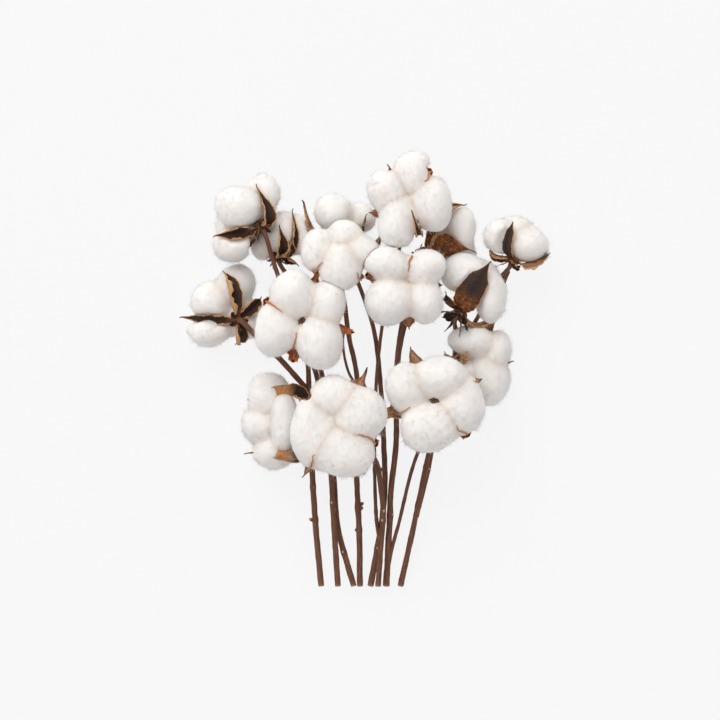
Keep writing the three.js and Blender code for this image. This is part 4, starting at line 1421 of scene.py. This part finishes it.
def lock_skin(ball, lock, number, locks, valves, seed):
    """The points of one lock: its creases filled, and pressed in by its neighbours and the valves."""
    siblings = [other for other in locks if other.boll == lock.boll and other is not lock]
    outward = unit(ball / lock.half)
    points = lock.centre + ball * lock.half * lock.reach(ball)[:, None]
    relief = LOCK_BROAD_RELIEF * ripple(points, seed, *LOCK_BROAD_WAVES, 8)
    points = filled(points, outward, lock, siblings, BOLLS[lock.boll].get("crease", CREASE_REACH))
    points += outward * relief[:, None]
    for other in locks[:number]:
        if other.boll != lock.boll:
            points = pressed(points, lock, other)
    for valve in valves:
        points = valve.push(points, lock)
    return points


def make_cotton(locks, valves, cotton, fibre):
    """Makes the fibre of each boll, and returns how high it reaches."""
    ball, ball_faces = unit_ball()
    heights = {}
    for place, (name, boll) in enumerate(BOLLS.items()):
        own = [lock for lock in locks if lock.boll == name]
        strangers = [lock for lock in locks if lock.boll != name]
        rough, body, fluff = Pile(), Pile(), Pile()
        for lock in own:
            skin = lock_skin(ball, lock, locks.index(lock), locks, valves, LOCK_SEED + place)
            rough.add(skin, ball_faces)
        heights[name] = Heights(np.concatenate(rough.points))
        points, faces = fused(np.concatenate(rough.points), np.concatenate(rough.faces))
        points = softened(points, faces)
        normals, _ = vertex_normals(points, faces)
        points += normals * LOCK_FINE_RELIEF * ripple(points, place, *LOCK_FINE_WAVES)[:, None]
        points[:, 2] = np.maximum(points[:, 2], FLOOR_CLEARANCE)
        # Painted shade in the creases and the middle, and a beige tint by the valves
        tone = cotton_shade_and_tint(points, name, own, valves)
        body.add(points, faces, tone=tone)
        shown = (nearest_gap(points, strangers, 3) > SHOWN_GAP) & (points[:, 2] > SHOWN_HEIGHT)
        for valve in valves:
            shown &= ~valve.covers(points)
        add_fibres(fluff, points, faces, tone, shown, FIBRE_SEED + place)
        for turn, spot in enumerate(boll.get("lint", ())):
            add_lint(fluff, spot, LINT_SEED + turn)
        body.piece("cotton_" + name + "_locks", cotton, "cotton", ["cotton_" + name])
        fluff.piece("cotton_" + name + "_fibres", fibre, "cotton")
    return heights


def make_burs(valves, heights, material):
    """Makes the bur of each boll, and its calyx."""
    for number, (name, boll) in enumerate(BOLLS.items()):
        pile, calyx = Pile(), Pile()
        at = placed(boll["at"])
        axis = unit(boll["axis"])
        look = boll["amber"], boll["orange"]
        add_receptacle(pile, at, axis, number)
        for place, valve in enumerate(v for v in valves if v.boll == name):
            turn = 10 * number + place
            add_valve(pile, valve, VALVE_SEED + turn, *look)
            if valve.numbers["ridge"]:
                add_ridge(pile, valve, heights[name], RIDGE_SEED + turn, *look)
        if "core" in boll:
            add_core(pile, at, heights[name], boll["core"], CORE_SEED + 10 * number)
        pile.piece("bur_" + name + "_shell", material, "bur", ["bur_" + name])
        add_sepals(calyx, at, axis, boll.get("calyx", 1.0), boll.get("reflex", 0), CALYX_SEED + number)
        calyx.piece("bur_" + name + "_calyx", material, "bur")


def limb_of(radii, end, route):
    """A limb's path, its distance along it and its radius, with a swelling at the boll."""
    corners = placed(route)
    if end in BOLLS:
        axis = unit(BOLLS[end]["axis"])
        seat = placed(BOLLS[end]["at"]) + axis * (RECEPTACLE_SEAT - LOCK_GAP)
        corners = np.concatenate([corners, [seat - axis * PEDICEL_LENGTH, seat]])
    path, along = smooth_route(corners)
    u = along / along[-1]
    radius = radii[0] + (radii[1] - radii[0]) * u
    left = along[-1] - along
    if end in BOLLS:
        radius = radius + BOLL_SWELL * np.exp(-left / BOLL_SWELL_LENGTH)
    elif end == "bud":
        radius = radius * np.clip(left / BUD_LENGTH, BUD_TIP, 1)
    return path, along, radius


def make_stems(material):
    """Makes each stem with its branches and marks."""
    for number, (name, stem) in enumerate(STEMS.items()):
        pile = Pile()
        paths = []
        for place, (radii, end, route) in enumerate(stem["limbs"]):
            path, along, radius = limb_of(radii, end, route)
            for x, y, *_ in stem["marks"]:
                gap = gap_in_view(path, x, y)
                if gap.min() < MARK_REACH:
                    away = along - along[gap.argmin()]
                    radius = radius + MARK_SWELL * np.exp(-(away / MARK_SWELL_LENGTH) ** 2)
            paths.append((path, radius))
            add_limb(pile, path, along, radius, LIMB_SEED + 10 * number + place, cut_start=place == 0)
        for place, mark in enumerate(stem["marks"]):
            add_mark(pile, paths, mark, 10 * number + place)
        pile.piece(name + "_bark", material, "bark", [name])


# The studio, in metres

FLOOR_SIZE = 30
FLOOR_GREYS = (0.078, 0.078, 0.078, 1), (0.082, 0.082, 0.082, 1)
FLOOR_GLOW = 0.862
CAMERA_SPOT = (-0.0036, 0.0064, 6.05)
CAMERA_LENS = 450
WORLD_COLOUR = (1.0, 0.95, 0.945, 1.0)
WORLD_STRENGTH = 0.62
KEY_COLOUR = (1.0, 1.0, 0.985)
KEY_POWER = 122
KEY_SPOT = (-1.2, 2.7, 3.2)
KEY_SIZE = 3.6


def make_studio():
    bpy.ops.mesh.primitive_plane_add(size=FLOOR_SIZE)
    floor = bpy.context.object
    floor.name = "studio_floor"
    floor.data.materials.append(floor_material())
    camera = new_object("camera", bpy.data.cameras.new("camera"), CAMERA_SPOT)
    camera.data.lens = CAMERA_LENS
    bpy.context.scene.camera = camera
    key = new_object("key", bpy.data.lights.new("key", "AREA"), KEY_SPOT)
    key.data.energy = KEY_POWER
    key.data.color = KEY_COLOUR
    key.data.size = KEY_SIZE
    key.rotation_euler = (-Vector(KEY_SPOT)).to_track_quat("-Z", "Y").to_euler()
    world = bpy.data.worlds.new("studio")
    world.use_nodes = True
    light = world.node_tree.nodes["Background"]
    light.inputs["Color"].default_value = WORLD_COLOUR
    light.inputs["Strength"].default_value = WORLD_STRENGTH
    bpy.context.scene.world = world
    bpy.context.scene.view_settings.view_transform = "Standard"


make_studio()
all_locks = [Lock(numbers, name) for name, boll in BOLLS.items() for numbers in boll["locks"]]
all_valves = [Valve(numbers, name) for name, boll in BOLLS.items() for numbers in boll["valves"]]
lock_heights = make_cotton(all_locks, all_valves, cotton_material(), fibre_material())
make_burs(all_valves, lock_heights, bur_material())
make_stems(bark_material())
